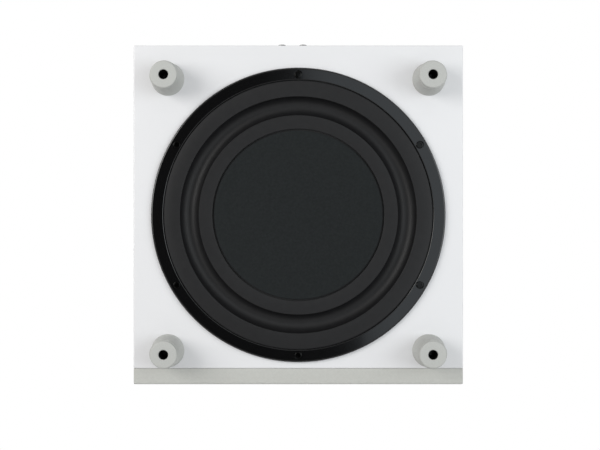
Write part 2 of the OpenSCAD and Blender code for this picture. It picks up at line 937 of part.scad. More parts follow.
// Holes in the plate for everything that comes through it
module plate_holes() {
    cut = plate_t + 2 * past;
    for (x = [gain_x, crossover_x])
        on_back(x, control_z) translate([0, 0, -plate_t - past])
            cylinder(r = stem_d / 2 + loose_gap, h = cut);
    for (x = [-1, 1])
        on_back(socket_x + x * socket_pitch / 2, socket_z)
            translate([0, 0, -plate_t - past])
            cylinder(r = socket_d / 2 + socket_body_wall + seat_gap, h = cut);
    for (x = [phase_x, mode_x])
        on_back(x, control_z) block(
            [lever_size[0] + lever_travel + 1, lever_size[1] + 1], -plate_t - past, cut);
    on_back(lens_x, control_z) translate([0, 0, -plate_t - past])
        cylinder(r = lens_r + seat_gap, h = cut);
    on_back(inlet_x, inlet_z) block(
        [inlet_body[0] + loose_gap, inlet_body[1] + loose_gap], -plate_t - past, cut);
    on_back(inlet_x, rocker_z) block(
        [rocker_body[0] + loose_gap, rocker_body[1] + loose_gap], -plate_t - past, cut);
    at_amp_screws() translate([0, 0, -plate_t - past])
        cylinder(r = amp_screw_r + screw_gap + seat_gap, h = cut);
}

// Black aluminium plate, with four posts behind it that carry the board
module amp_plate() {
    color("#151517") union() {
        difference() {
            on_back(0, amp_z) block([plate_w, plate_h], -plate_t, plate_t);
            plate_holes();
        }
        for (x = [-1, 1], z = [-1, 1])
            on_back(x * post_x, amp_z + z * post_up)
                translate([0, 0, -plate_t - board_gap])
                cylinder(r = post_r, h = board_gap + 1);
    }
}

module amp_screws() {
    slot = [3.8, 0.9];
    slot_depth = 1;
    color("#202022") at_amp_screws() difference() {
        union() {
            cylinder(r = amp_head_r, h = amp_head_h);
            translate([0, 0, -plate_t - amp_screw_len])
                cylinder(r = amp_screw_r, h = plate_t + amp_screw_len + 1);
        }
        for (a = [0, 90]) rotate([0, 0, a])
            block(slot, amp_head_h - slot_depth, slot_depth + past);
    }
}

// Sealed plastic tub round the electronics
module amp_tub() {
    inner = [tub_w - 2 * tub_wall, tub_h - 2 * tub_wall];
    color("#3c3c3e") on_back(0, amp_z) difference() {
        block([tub_w, tub_h], -plate_t - tub_depth, tub_depth);
        block(inner, -plate_t - tub_depth + tub_wall, tub_depth);
    }
}

module heat_sink() {
    base_t = 2;
    side_margin = 25;
    sink_w = plate_w - 2 * side_margin;
    low = rocker_z + rocker_flange[1] / 2 + 5;
    high = control_z - knob_d / 2 - 12;
    sink_l = high - low;
    step = (sink_w - fin_t) / (fin_count - 1);
    color("#18181a") on_back(0, (low + high) / 2) {
        block([sink_w, sink_l], 0, base_t);
        for (i = [0:fin_count - 1])
            translate([-sink_w / 2 + i * step, -sink_l / 2, base_t])
                cube([fin_t, sink_l, sink_h - base_t]);
    }
}

module amp_board() {
    board = [184, 216];
    color("#1f5a34") on_back(0, amp_z)
        block(board, -plate_t - board_gap - board_t, board_t);
}

// Ferrite-cored transformer: a wound bobbin between two core halves
module power_transformer() {
    core = [54, 46];
    core_t = 8;
    bobbin = [30, 40];
    bobbin_t = 13;
    face = -plate_t - board_gap - board_t;
    color("#c8a020") on_back(-48, amp_z - 60) union() {
        block(core, face - core_t, core_t);
        block(bobbin, face - core_t - bobbin_t - 1, bobbin_t + 2);
        block(core, face - 2 * core_t - bobbin_t, core_t);
    }
}

module filter_capacitors() {
    can_r = 12.5;
    can_h = 26;
    seal_r = 11.8;
    seal_h = 3;
    pitch = 34;
    face = -plate_t - board_gap - board_t;
    color("#23304a") for (i = [0:1])
        on_back(20 + pitch * i, amp_z - 62) translate([0, 0, face - can_h - seal_h]) {
            cylinder(r = can_r, h = can_h);
            translate([0, 0, can_h]) cylinder(r = seal_r, h = seal_h);
        }
}

// ---------------------------------------------------------------- sockets, switches and knobs

module mains_inlet() {
    color("#101012") on_back(inlet_x, inlet_z) difference() {
        union() {
            block(inlet_flange, 0, inlet_flange_t);
            block(inlet_body, -inlet_depth, inlet_depth + 1);
        }
        difference() {
            translate([0, -cavity_up, 0])
                block(cavity, inlet_flange_t - cavity_depth, cavity_depth + past);
            translate([0, -cavity_up, 0]) blades();
        }
        translate([0, drawer_down, 0])
            block(drawer_size, inlet_flange_t - drawer_depth, drawer_depth + past);
    }
}

// Two live blades and an earth blade in the plug's cavity
module blades() {
    blade = [2, 4];
    spread = 7;
    rise = 3;
    foot_z = inlet_flange_t - cavity_depth - past;
    for (x = [-spread, spread])
        translate([x, rise, 0]) block(blade, foot_z, blade_len + past);
    translate([0, -rise, 0]) block(blade, foot_z, blade_len + past);
}

// Small drawer with a tray for two fuses and a finger lip
module fuse_drawer() {
    size = [drawer_size[0] - 2 * drawer_play, drawer_size[1] - 2 * drawer_play];
    depth = drawer_depth - 1;
    lip = [size[0] - 8, 2];
    lip_h = 2.2;
    tray = [size[0] - 3, 11];
    tray_floor = 2;
    front_t = 3;
    color("#1b1b1d") on_back(inlet_x, inlet_z) translate([0, drawer_down, 0]) difference() {
        union() {
            block(size, inlet_flange_t - depth, depth);
            translate([0, size[1] / 2 - 1.5, 0]) block(lip, inlet_flange_t - 1, lip_h);
        }
        translate([0, -size[1] / 2, 0])
            block(tray, inlet_flange_t - depth + tray_floor, depth - tray_floor - front_t);
    }
}

module rocker_housing() {
    color("#101012") on_back(inlet_x, rocker_z) difference() {
        union() {
            block(rocker_flange, 0, rocker_flange_t);
            block(rocker_body, -rocker_depth, rocker_depth + 1);
        }
        block(rocker_open, -rocker_depth + rocker_floor, rocker_depth);
        rotate([0, 90, 0]) translate([rocker_pin_drop, 0, 0])
            cylinder(r = rocker_pin_r + turn_gap,
                h = rocker_open[0] + 2 * rocker_pin_in + loose_gap, center = true);
    }
}

// Paddle with a shallow V top, drawn pressed down at its lower half
module power_rocker() {
    w = rocker_open[0] - 1;
    half = rocker_open[1] / 2 - 1;
    side = half - 0.6;
    tip = 4.6;
    valley = 3.4;
    root = 5;
    color("#17171a") on_back(inlet_x, rocker_z) translate([0, 0, -rocker_pin_drop])
        rotate([rocker_tilt, 0, 0]) union() {
            rotate([90, 0, 90]) translate([0, 0, -w / 2]) linear_extrude(w)
                polygon([[-half, tip], [0, valley], [half, tip], [side, 0], [root, -root],
                    [-root, -root], [-side, 0]]);
            rotate([0, 90, 0]) cylinder(r = rocker_pin_r,
                h = rocker_open[0] + 2 * rocker_pin_in, center = true);
        }
}

// Two coaxial audio sockets
module rca_sockets() {
    color("#b9bcc0") for (x = [-1, 1])
        on_back(socket_x + x * socket_pitch / 2, socket_z) difference() {
            union() {
                cylinder(r = socket_d / 2, h = socket_out);
                cylinder(r = socket_nut_r, h = socket_nut_h);
                translate([0, 0, -socket_back])
                    cylinder(r = socket_d / 2 + socket_body_wall, h = socket_back + 1);
            }
            translate([0, 0, socket_out - socket_bore_depth])
                cylinder(r = socket_bore_r, h = socket_bore_depth + past);
        }
}

// Knob with its stem, a pointer groove and a ring of grip flutes
module knob() {
    flutes = 18;
    flute_r = 1.4;
    r = knob_d / 2;
    rise = 1;
    foot_edge = 0.8;
    top_edge = 1.2;
    draft = 1;
    pointer = [1.2, r, 0.8 + past];
    difference() {
        union() {
            rotate_extrude() polygon(concat(
                [[0, rise], [r - foot_edge, rise], [r, rise + foot_edge]],
                arc(r - draft - top_edge, rise + knob_h - top_edge, top_edge, 0, 90, 4),
                [[0, rise + knob_h]]
            ));
            translate([0, 0, -plate_t - stem_in])
                cylinder(r = stem_d / 2, h = rise + plate_t + stem_in + 1);
        }
        around(flutes) translate([r + 0.9, 0, rise + 2]) cylinder(r = flute_r, h = knob_h);
        translate([-pointer[0] / 2, 3, rise + knob_h + past - pointer[2]]) cube(pointer);
    }
}

module gain_knob() {
    color("#1c1c1f") on_back(gain_x, control_z) rotate([0, 0, 180]) knob();
}

module crossover_knob() {
    color("#1c1c1f") on_back(crossover_x, control_z) rotate([0, 0, 180]) knob();
}

// Potentiometer cans behind the plate, each bored for its knob's stem
module control_pots() {
    color("#7d8085") for (x = [gain_x, crossover_x])
        on_back(x, control_z) difference() {
            union() {
                translate([0, 0, -plate_t - pot_neck - pot_depth + 1])
                    cylinder(r = pot_r, h = pot_depth);
                block([pot_body, pot_body], -plate_t - pot_neck, pot_neck);
            }
            translate([0, 0, -plate_t - stem_in - 1])
                cylinder(r = stem_d / 2 + turn_gap, h = stem_in + 1 + past);
        }
}

module switch_lever(x) {
    groove = [0.5, lever_size[1] + 1];
    groove_step = 1.4;
    groove_depth = 0.6;
    on_back(x, control_z) translate([lever_travel / 2, 0, 0])
        difference() {
            block(lever_size, -plate_t - lever_in, plate_t + lever_in + lever_out);
            for (k = [-1:1]) translate([k * groove_step, 0, 0])
                block(groove, lever_out - groove_depth, groove_depth + past);
        }
}

module phase_lever() {
    color("#e4e4e4") switch_lever(phase_x);
}

module mode_lever() {
    color("#e4e4e4") switch_lever(mode_x);
}

// Bodies of the two slide switches, each with a well for its lever
module switch_bodies() {
    color("#55575b") for (x = [phase_x, mode_x])
        on_back(x, control_z) difference() {
            block([switch_size[0], switch_size[1]], -plate_t - switch_size[2], switch_size[2]);
            block([lever_size[0] + lever_travel + 2 * soft_gap, lever_size[1] + 2 * soft_gap],
                -plate_t - lever_in - screw_gap, lever_in + screw_gap + past);
        }
}

// Small domed window over the status light
module status_lens() {
    edge = 1.2;
    edge_z = 0.2;
    color("#d8e8f4") on_back(lens_x, control_z) rotate_extrude() polygon(concat(
        [[0, -plate_t - 4], [lens_r + 0.9, -plate_t - 4], [lens_r + 0.9, -plate_t],
         [lens_r, -plate_t]],
        arc(lens_r - edge, edge_z, edge, 0, 90, 4),
        [[0, edge_z + edge + 0.2]]
    ));
}

cabinet_top();
cabinet_bottom();
cabinet_side_left();
cabinet_side_right();
cabinet_front_baffle();
cabinet_back();
cabinet_brace();
acoustic_wadding();
foot_front_left();
foot_front_right();
foot_back_left();
foot_back_right();
foot_screws();
grille_frame();
grille_cloth();
grille_pegs();
grille_cups();
rim_screws();
radiator_trim_ring();
radiator_frame();
radiator_edge_ring();
radiator_surround();
radiator_cone();
radiator_disc();
radiator_neck();
radiator_spider();
radiator_weight();
driver_frame();
driver_edge_ring();
driver_surround();
driver_cone();
driver_dust_cap();
voice_coil_former();
voice_coil_winding();
driver_spider();
top_plate();
ferrite_magnet();
pole_piece();
terminal_strip();
tinsel_leads();
speaker_wires();
amp_plate();
amp_screws();
amp_tub();
heat_sink();
amp_board();
power_transformer();
filter_capacitors();
mains_inlet();
fuse_drawer();
rocker_housing();
power_rocker();
rca_sockets();
gain_knob();
crossover_knob();
control_pots();
phase_lever();
mode_lever();
switch_bodies();
status_lens();
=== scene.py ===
import math

import bmesh
import bpy
import numpy as np
from mathutils import Matrix, Vector


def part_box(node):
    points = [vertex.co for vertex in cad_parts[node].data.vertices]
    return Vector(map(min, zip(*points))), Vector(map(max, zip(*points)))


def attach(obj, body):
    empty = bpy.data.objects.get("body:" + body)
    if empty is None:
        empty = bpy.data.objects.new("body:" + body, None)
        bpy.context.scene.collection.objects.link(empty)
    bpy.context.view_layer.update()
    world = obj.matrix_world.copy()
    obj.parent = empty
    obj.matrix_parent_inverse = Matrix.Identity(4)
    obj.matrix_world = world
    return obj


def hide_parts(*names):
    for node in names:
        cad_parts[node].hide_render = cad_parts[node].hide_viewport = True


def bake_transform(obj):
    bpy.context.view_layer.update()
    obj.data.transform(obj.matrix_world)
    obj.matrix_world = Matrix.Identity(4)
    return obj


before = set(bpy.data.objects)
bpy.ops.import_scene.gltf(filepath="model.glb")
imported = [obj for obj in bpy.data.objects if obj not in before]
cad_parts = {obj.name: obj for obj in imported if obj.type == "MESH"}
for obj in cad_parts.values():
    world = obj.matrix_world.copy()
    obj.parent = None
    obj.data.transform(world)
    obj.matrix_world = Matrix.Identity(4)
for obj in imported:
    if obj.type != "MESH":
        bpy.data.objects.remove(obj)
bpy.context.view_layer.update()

scene = bpy.context.scene
scene.view_settings.view_transform = "Standard"

# ---------------------------------------------------------------- studio
# A pale floor and soft lamps. The camera looks straight at the underside, where the feet and the
# radiator are, so the floor shows from above only and lets lamps and camera through from below.


class Value:
    """A number that varies over a surface. Arithmetic on it adds Math nodes to its finish."""

    def __init__(self, finish, socket):
        self.finish, self.socket = finish, socket

    def math(self, operation, *terms):
        return self.finish.node("Math", {"operation": operation}, dict(enumerate(terms)))

    def __add__(self, other):
        return self.math("ADD", self, other)

    def __sub__(self, other):
        return self.math("SUBTRACT", self, other)

    def __rsub__(self, other):
        return self.math("SUBTRACT", other, self)

    def __mul__(self, other):
        return self.math("MULTIPLY", self, other)

    def __truediv__(self, other):
        return self.math("DIVIDE", self, other)

    __radd__, __rmul__ = __add__, __mul__

    def sine(self):
        return self.math("SINE", self)


class Finish:
    """One material of the object: a principled surface and the nodes that vary it."""

    def __init__(self, name, constants=()):
        self.material = bpy.data.materials.new(name)
        self.material.use_nodes = True
        self.tree = self.material.node_tree
        self.surface = self.tree.nodes["Principled BSDF"]
        for socket, value in dict(constants).items():
            self.join(self.surface.inputs[socket], value)
        self.where = self.node("TexCoord", out="Object")

    def join(self, socket, value):
        if isinstance(value, Value):
            self.tree.links.new(value.socket, socket)
        elif socket.type == "RGBA" and len(value) == 3:
            socket.default_value = (*value, 1)
        else:
            socket.default_value = value

    def node(self, kind, settings=(), sockets=(), out=0):
        made = self.tree.nodes.new("ShaderNode" + kind)
        for name, value in dict(settings).items():
            setattr(made, name, value)
        for name, value in dict(sockets).items():
            self.join(made.inputs[name], value)
        return Value(self, made.outputs[out])

    def noise(self, size, detail=2.0, stretch=(1, 1, 1)):
        """Cloudy noise from 0 to 1, with lumps of about that size in metres."""
        spread = self.node("Mapping", {}, {"Vector": self.where, "Scale": stretch})
        return self.node("TexNoise", {}, {"Vector": spread, "Scale": 1 / size, "Detail": detail})

    def mix(self, first, second, share):
        return self.node("Mix", {"data_type": "RGBA"}, {0: share, 6: first, 7: second}, out=2)

    def axis(self, name, where=None):
        """One coordinate of a place on the surface, in metres."""
        return self.node("SeparateXYZ", {}, {"Vector": where or self.where}, out=name)

    def paint(self, **looks):
        """Links what varies to the surface: colour, roughness or metal."""
        names = {"colour": "Base Color", "roughness": "Roughness", "metal": "Metallic"}
        for look, value in looks.items():
            self.join(self.surface.inputs[names[look]], value)
        return self

    def emboss(self, height, depth):
        """Raises the surface by a height from 0 to 1 times depth, in metres."""
        bump = self.node("Bump", {}, {"Height": height, "Distance": depth})
        self.join(self.surface.inputs["Normal"], bump)
        return self


def shade(red, green, blue):
    """A display colour from 0 to 255 as the linear colour that the nodes use."""
    return tuple(
        c / 12.92 if c <= 0.04045 else ((c + 0.055) / 1.055) ** 2.4
        for c in (red / 255, green / 255, blue / 255)
    )


under_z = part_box("cabinet_bottom")[0].z
ring_low, ring_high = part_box("radiator_trim_ring")
middle_y = (ring_low.y + ring_high.y) / 2

camera = bpy.data.objects.new("camera", bpy.data.cameras.new("camera"))
scene.collection.objects.link(camera)
camera.data.lens = 60.2
camera_distance = 1.065
camera_shift_x, camera_shift_y = -0.0018, -0.0107
camera.location = (camera_shift_x, middle_y + camera_shift_y, under_z - camera_distance)
camera.rotation_euler = (0, math.pi, 0)
scene.camera = camera


def softbox(name, place, aim, size, power, colour):
    lamp = bpy.data.objects.new(name, bpy.data.lights.new(name, "AREA"))
    scene.collection.objects.link(lamp)
    lamp.data.shape, lamp.data.size, lamp.data.size_y = "RECTANGLE", *size
    lamp.data.energy, lamp.data.color = power, colour
    lamp.location = place
    lamp.rotation_euler = (Vector(aim) - Vector(place)).to_track_quat("-Z", "Y").to_euler()


radiator_place = (0, middle_y, under_z)
cabinet_middle = (0, middle_y, (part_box("cabinet_top")[1].z + under_z) / 2)
softbox("key", (1.25, 0.40, -1.05), radiator_place, (0.9, 1.1), 13.8, (1.0, 0.988, 0.972))
softbox("fill", (-1.30, 0.10, -1.00), radiator_place, (1.0, 1.1), 9.1, (0.93, 0.978, 1.0))
softbox("glow", (-0.30, 0.06, -1.03), radiator_place, (0.70, 0.48), 0.95, (0.86, 0.94, 1.0))
softbox("over_left", (1.5, 1.6, 1.9), cabinet_middle, (1.4, 1.4), 20, (1, 1, 1))
softbox("over_right", (-1.6, -1.5, 1.7), cabinet_middle, (1.4, 1.4), 18, (1, 1, 1))

world = bpy.data.worlds.new("studio_air")
scene.world = world
world.use_nodes = True
air = world.node_tree
backdrop = air.nodes["Background"]
direction = air.nodes.new("ShaderNodeTexCoord")
upward = air.nodes.new("ShaderNodeSeparateXYZ")
by_height = air.nodes.new("ShaderNodeMapRange")
glow_ring = air.nodes.new("ShaderNodeValToRGB")
path = air.nodes.new("ShaderNodeLightPath")
choice = air.nodes.new("ShaderNodeMix")
choice.data_type = "RGBA"
air.links.new(direction.outputs["Generated"], upward.inputs[0])
air.links.new(upward.outputs["Z"], by_height.inputs["Value"])
by_height.inputs["From Min"].default_value = -1
air.links.new(by_height.outputs["Result"], glow_ring.inputs[0])
air_stops = (
    (-1, 0.015), (-0.96, 0.02), (-0.925, 0.76), (-0.77, 0.76), (-0.58, 0.36), (0, 0.42), (0.3, 0.5),
)
while len(glow_ring.color_ramp.elements) < len(air_stops):
    glow_ring.color_ramp.elements.new(1)
for stop, (height, strength) in zip(glow_ring.color_ramp.elements, air_stops):
    stop.position = (height + 1) / 2
    stop.color = (strength, strength, strength, 1)
air.links.new(path.outputs["Is Camera Ray"], choice.inputs[0])
air.links.new(glow_ring.outputs["Color"], choice.inputs[6])
choice.inputs[7].default_value = (1, 1, 1, 1)
air.links.new(choice.outputs[2], backdrop.inputs["Color"])
backdrop.inputs["Strength"].default_value = 1.0

floor_half = 1.6
floor_drop = 0.0002
floor_mesh = bpy.data.meshes.new("floor")
floor_mesh.from_pydata(
    [(x * floor_half, y * floor_half, -floor_drop) for x, y in ((-1, -1), (1, -1), (1, 1), (-1, 1))],
    [], [(0, 1, 2, 3)],
)
floor = bpy.data.objects.new("floor", floor_mesh)
scene.collection.objects.link(floor)
floor_finish = Finish("pale_floor", {"Roughness": 0.7})
mottle = floor_finish.noise(0.3)
floor_finish.paint(colour=floor_finish.mix((0.80, 0.80, 0.80), (0.84, 0.84, 0.84), mottle))
see_through = floor_finish.node("BsdfTransparent")
from_below = floor_finish.node("NewGeometry", out="Backfacing")
one_sided = floor_finish.node("MixShader", {}, {0: from_below, 2: see_through})
floor_finish.tree.links.new(floor_finish.surface.outputs[0], one_sided.socket.node.inputs[1])
floor_finish.tree.links.new(one_sided.socket, floor_finish.tree.nodes["Material Output"].inputs[0])
floor_mesh.materials.append(floor_finish.material)
floor.visible_diffuse = floor.visible_glossy = floor.visible_shadow = False

# ---------------------------------------------------------------- cabinet
# Six fibreboard panels, glued into one box, rounded at the edges, primed and sprayed in white
# satin lacquer. Both sound units and the amplifier drop into cut-outs in it.


def object_of(name, made, place=None):
    """A Blender object from a bmesh, which is moved to its place and freed."""
    if place is not None:
        made.transform(place)
    bmesh.ops.recalc_face_normals(made, faces=made.faces)
    mesh = bpy.data.meshes.new(name)
    made.to_mesh(mesh)
    made.free()
    piece = bpy.data.objects.new(name, mesh)
    scene.collection.objects.link(piece)
    return piece


def applied(piece):
    """The piece with its modifiers turned into mesh."""
    mesh = bpy.data.meshes.new_from_object(
        piece.evaluated_get(bpy.context.evaluated_depsgraph_get())
    )
    piece.modifiers.clear()
    piece.data = mesh
    return piece


def carve(piece, *cutters, how="DIFFERENCE"):
    """Cuts other solids out of a piece, or joins them to it, and removes them."""
    for cutter in cutters:
        step = piece.modifiers.new("carve", "BOOLEAN")
        step.operation, step.object, step.solver = how, cutter, "EXACT"
    bpy.context.view_layer.update()
    applied(piece)
    for cutter in cutters:
        bpy.data.objects.remove(cutter)
    return piece


def slab(size, edge=0.0, steps=3):
    """A block round its middle with its edges rounded."""
    made = bmesh.new()
    bmesh.ops.create_cube(made, size=1)
    bmesh.ops.scale(made, vec=size, verts=made.verts)
    if edge:
        bmesh.ops.bevel(
            made, geom=made.edges, offset=edge, segments=steps, profile=0.5, affect="EDGES")
    return made


def turned(outline, steps=192):
    """A solid turned about local Z from a closed outline of radius and level."""
    made = bmesh.new()
    rings = []
    for radius, level in outline:
        if radius < 1e-6:
            rings.append([made.verts.new((0, 0, level))] * steps)
        else:
            turns = [2 * math.pi * k / steps for k in range(steps)]
            rings.append([
                made.verts.new((radius * math.cos(a), radius * math.sin(a), level)) for a in turns
            ])
    for i, ring in enumerate(rings):
        after = rings[(i + 1) % len(rings)]
        for k in range(steps):
            corners = [ring[k], ring[(k + 1) % steps], after[(k + 1) % steps], after[k]]
            distinct = list(dict.fromkeys(corners))
            if len(distinct) > 2:
                made.faces.new(distinct)
    return made


def settle(piece, finish, body, slot, *stands_for, crease=32, flat_first=False):
    """Gives a finished mesh its smooth shading, its material and its body; the slot argument is not used.
    """
    mesh = piece.data
    if not mesh.materials:
        mesh.materials.append(finish.material)
    mesh.shade_smooth()
    mesh.set_sharp_from_angle(angle=math.radians(crease))
    if flat_first:
        piece.modifiers.new("even", "WEIGHTED_NORMAL").keep_sharp = True
        bpy.context.view_layer.update()
        applied(piece)
    if body:
        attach(piece, body)
    if stands_for:
        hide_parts(*stands_for)
    return piece


def speckled(name, dark, light, size, roughness, grain, depth, constants=()):
    """A moulded or painted finish: two close colours in clouds, and a fine grain."""
    made = Finish(name, constants)
    clouds = made.noise(size, 3)
    made.paint(colour=made.mix(dark, light, clouds), roughness=roughness + (clouds - 0.5) * 0.08)
    made.emboss(made.noise(grain, 2), depth)
    return made


lacquer = speckled(
    "white_lacquer", (0.815, 0.815, 0.825), (0.835, 0.835, 0.845), 0.05, 0.34, 0.0022, 0.000012,
    {"Coat Weight": 0.25, "Coat Roughness": 0.12},
)
board = Finish("bare_board", {"Roughness": 0.85})
fibres = board.noise(0.0012, 4, (1, 1, 0.3))
board.paint(colour=board.mix((0.30, 0.20, 0.11), (0.42, 0.30, 0.18), fibres))
board.emboss(fibres, 0.0001)

shell_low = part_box("cabinet_bottom")[0]
shell_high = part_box("cabinet_top")[1]
shell_middle = (shell_low + shell_high) / 2
shell_size = shell_high - shell_low
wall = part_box("cabinet_bottom")[1].z - shell_low.z
unit_z = shell_middle.z
bottom_unit = Matrix.Translation((0, middle_y, shell_low.z))
front_unit = Matrix.Translation((0, shell_low.y, unit_z)) @ Matrix.Rotation(-math.pi / 2, 4, "X")
back_face = Matrix.Translation((0, shell_high.y, unit_z)) @ Matrix.Rotation(-math.pi / 2, 4, "X")
tub_low, tub_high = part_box("amp_tub")


def gauge(node, place):
    """Least and greatest radius, and lowest and highest level, of a CAD node about a unit's axis."""
    back = place.inverted()
    points = np.array([back @ v.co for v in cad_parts[node].data.vertices])
    radii = np.hypot(points[:, 0], points[:, 1])
    return radii.min(), radii.max(), points[:, 2].min(), points[:, 2].max()


flange_r = gauge("radiator_frame", bottom_unit)[1]
flange_t = 0.005
flange_lap = 0.0216
skirt_r = flange_r - flange_lap
skirt_play = 0.0025
rebate_play = 0.0004
over = 0.002

edge_round = 0.0012
in_shell = Matrix.Translation(shell_middle)
shell = object_of("cabinet_shell", slab(shell_size, edge_round, 4), in_shell)
cutters = [object_of("hollow", slab([s - 2 * wall for s in shell_size]), in_shell)]
for unit in (bottom_unit, front_unit):
    for radius, depth in ((flange_r + rebate_play, flange_t), (skirt_r + skirt_play, wall + over)):
        plug = turned([(0, -over), (radius, -over), (radius, depth), (0, depth)])
        cutters.append(object_of("plug", plug, unit))
tub_play = 0.004
tub_size = [tub_high.x - tub_low.x + tub_play, tub_high.z - tub_low.z + tub_play, 2 * (wall + over)]
cutters.append(object_of("plug", slab(tub_size), back_face))
cup_r, cup_depth = 0.0067, 0.0135
peg_offset = 0.142
for cup in [Vector((x, y, 0)) for x in (-peg_offset, peg_offset) for y in (-peg_offset, peg_offset)]:
    plug = turned([(0, -over), (cup_r, -over), (cup_r, cup_depth), (0, cup_depth)], 32)
    cutters.append(object_of("plug", plug, front_unit @ Matrix.Translation(cup)))
carve(shell, *cutters)
shell.data.materials.append(lacquer.material)
shell.data.materials.append(board.material)
lacquer_reach = 0.0025
for face in shell.data.polygons:
    inside = shell_size / 2 - Vector(map(abs, face.center - shell_middle))
    if min(inside) > lacquer_reach:
        face.material_index = 1
panels = ["cabinet_top", "cabinet_bottom", "cabinet_side_left", "cabinet_side_right",
          "cabinet_front_baffle", "cabinet_back"]
settle(shell, lacquer, "cabinet", "white_lacquer", *panels, flat_first=True)

# ---------------------------------------------------------------- feet
# Four tapered feet moulded in light grey plastic, each with a deep well. A black socket-head screw
# in the well clamps the foot to the bottom panel.


def arc(across, along, radius, start, end, steps=8):
    """Points of an arc in an outline, its angles in degrees."""
    angles = [math.radians(start + (end - start) * k / steps) for k in range(steps + 1)]
    return [(across + radius * math.cos(a), along + radius * math.sin(a)) for a in angles]


foot_plastic = Finish("foot_grey", {"Roughness": 0.55})
flecks = foot_plastic.noise(0.0011, 3)
foot_plastic.paint(colour=foot_plastic.mix(shade(174, 175, 171), shade(198, 199, 195), flecks))
foot_plastic.emboss(foot_plastic.noise(0.0005, 1), 0.00004)
black_steel = speckled(
    "black_steel", (0.016, 0.016, 0.016), (0.028, 0.028, 0.027), 0.002, 0.12, 0.0004, 0.00001,
    {"Metallic": 0.95},
)
# Painted shade: a near-black finish for the walls and floor of each foot's well, standing in for the shade
# deep in the recess.
well_painted_shade = speckled(
    "well_painted_shade", (0.006, 0.006, 0.006), (0.010, 0.010, 0.010), 0.002, 0.6, 0.0006, 0.00002)

foot_nodes = ("foot_front_left", "foot_front_right", "foot_back_left", "foot_back_right")
tip_r, tip_edge = 0.01425, 0.0016
well_r, well_mouth = 0.005, 0.0006
neck_z = 0.0045
seat_t = 0.010
screw_hole_r = 0.00325
foot_head_h = 0.005
foot_places = []
for node in foot_nodes:
    low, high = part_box(node)
    base_r, height = (high.x - low.x) / 2, high.z
    middle = Matrix.Translation(((low.x + high.x) / 2, (low.y + high.y) / 2, 0))
    neck_r = tip_r + (base_r - tip_r) * neck_z / height
    outline = [
        (well_r + well_mouth, 0), *arc(tip_r - tip_edge, tip_edge, tip_edge, -90, 0),
        (tip_r + 0.0001, neck_z - 0.0014), (tip_r - 0.0006, neck_z - 0.0008),
        (tip_r - 0.0006, neck_z), *arc(neck_r - 0.0004, neck_z + 0.0010, 0.0008, 270, 340, 4),
        (base_r - 0.0004, height - 0.0008), (base_r, height - 0.0004),
        (base_r, height), (screw_hole_r, height), (screw_hole_r, height - seat_t),
        (well_r, height - seat_t), (well_r, well_mouth),
    ]
    foot = object_of(node + "_moulding", turned(outline, 96), middle)
    foot.data.materials.append(foot_plastic.material)
    foot.data.materials.append(well_painted_shade.material)
    # The faces of the well's walls and floor take the painted shade.
    for face in foot.data.polygons:
        offset = face.center - middle.translation
        in_well = math.hypot(offset.x, offset.y) < well_r + 0.0002
        if in_well and face.center.z < height - seat_t + 0.001:
            face.material_index = 1
    settle(foot, foot_plastic, "cabinet", "foot_grey", node)
    foot_places.append(middle @ Matrix.Translation((0, 0, height - seat_t - foot_head_h)))


def hexagon(radius, low, high):
    """The cutter for a hexagon socket."""
    return turned([(0, low), (radius, low), (radius, high), (0, high)], 6)


def socket_screw(head_r, head_h, shank_r, shank_end, key_r, key_depth):
    """A socket-head screw with a head that starts at level 0 and points out along -Z."""
    ease = 0.2 * head_r
    head = object_of("screw", turned([
        (0, 0), *arc(head_r - ease, ease, ease, -90, 0, 5), (head_r, head_h), (shank_r, head_h),
        (shank_r, shank_end - shank_r * 0.4), (shank_r * 0.6, shank_end), (0, shank_end),
    ], 48))
    key = object_of("key", hexagon(key_r, -0.001, key_depth))
    return carve(head, key)


def gathered(parts):
    """One bmesh made of several, which are freed."""
    made = bmesh.new()
    for part in parts:
        held = bpy.data.meshes.new("part")
        part.to_mesh(held)
        part.free()
        made.from_mesh(held)
        bpy.data.meshes.remove(held)
    return made


def copies(name, pattern, places):
    """One object made of a pattern's mesh at several places. The pattern is removed."""
    parts = []
    for place in places:
        part = bmesh.new()
        part.from_mesh(pattern.data)
        part.transform(place)
        parts.append(part)
    bpy.data.objects.remove(pattern)
    return object_of(name, gathered(parts))


screw_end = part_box("foot_screws")[1].z - foot_places[0].translation.z
foot_screw = socket_screw(well_r - 0.0003, foot_head_h, 0.003, screw_end, 0.0029, 0.003)
settle(copies("foot_screw_set", foot_screw, foot_places), black_steel, "cabinet", "black_steel",
       "foot_screws")

# ---------------------------------------------------------------- trim ring and rim screws
# A glossy black ring lies on the bottom panel and hides the radiator's cast flange. Six black
# socket-head screws stand in wells in it, and six more hold the driver in front.

gloss_black = Finish("gloss_black", {
    "Base Color": (0.0028, 0.0028, 0.003), "Specular IOR Level": 0.5,
    "Coat Weight": 0.35, "Coat Roughness": 0.06,
})
gloss_black.paint(roughness=0.12 + gloss_black.noise(0.02, 3) * 0.05)
gloss_black.emboss(gloss_black.noise(0.004, 1), 0.000006)

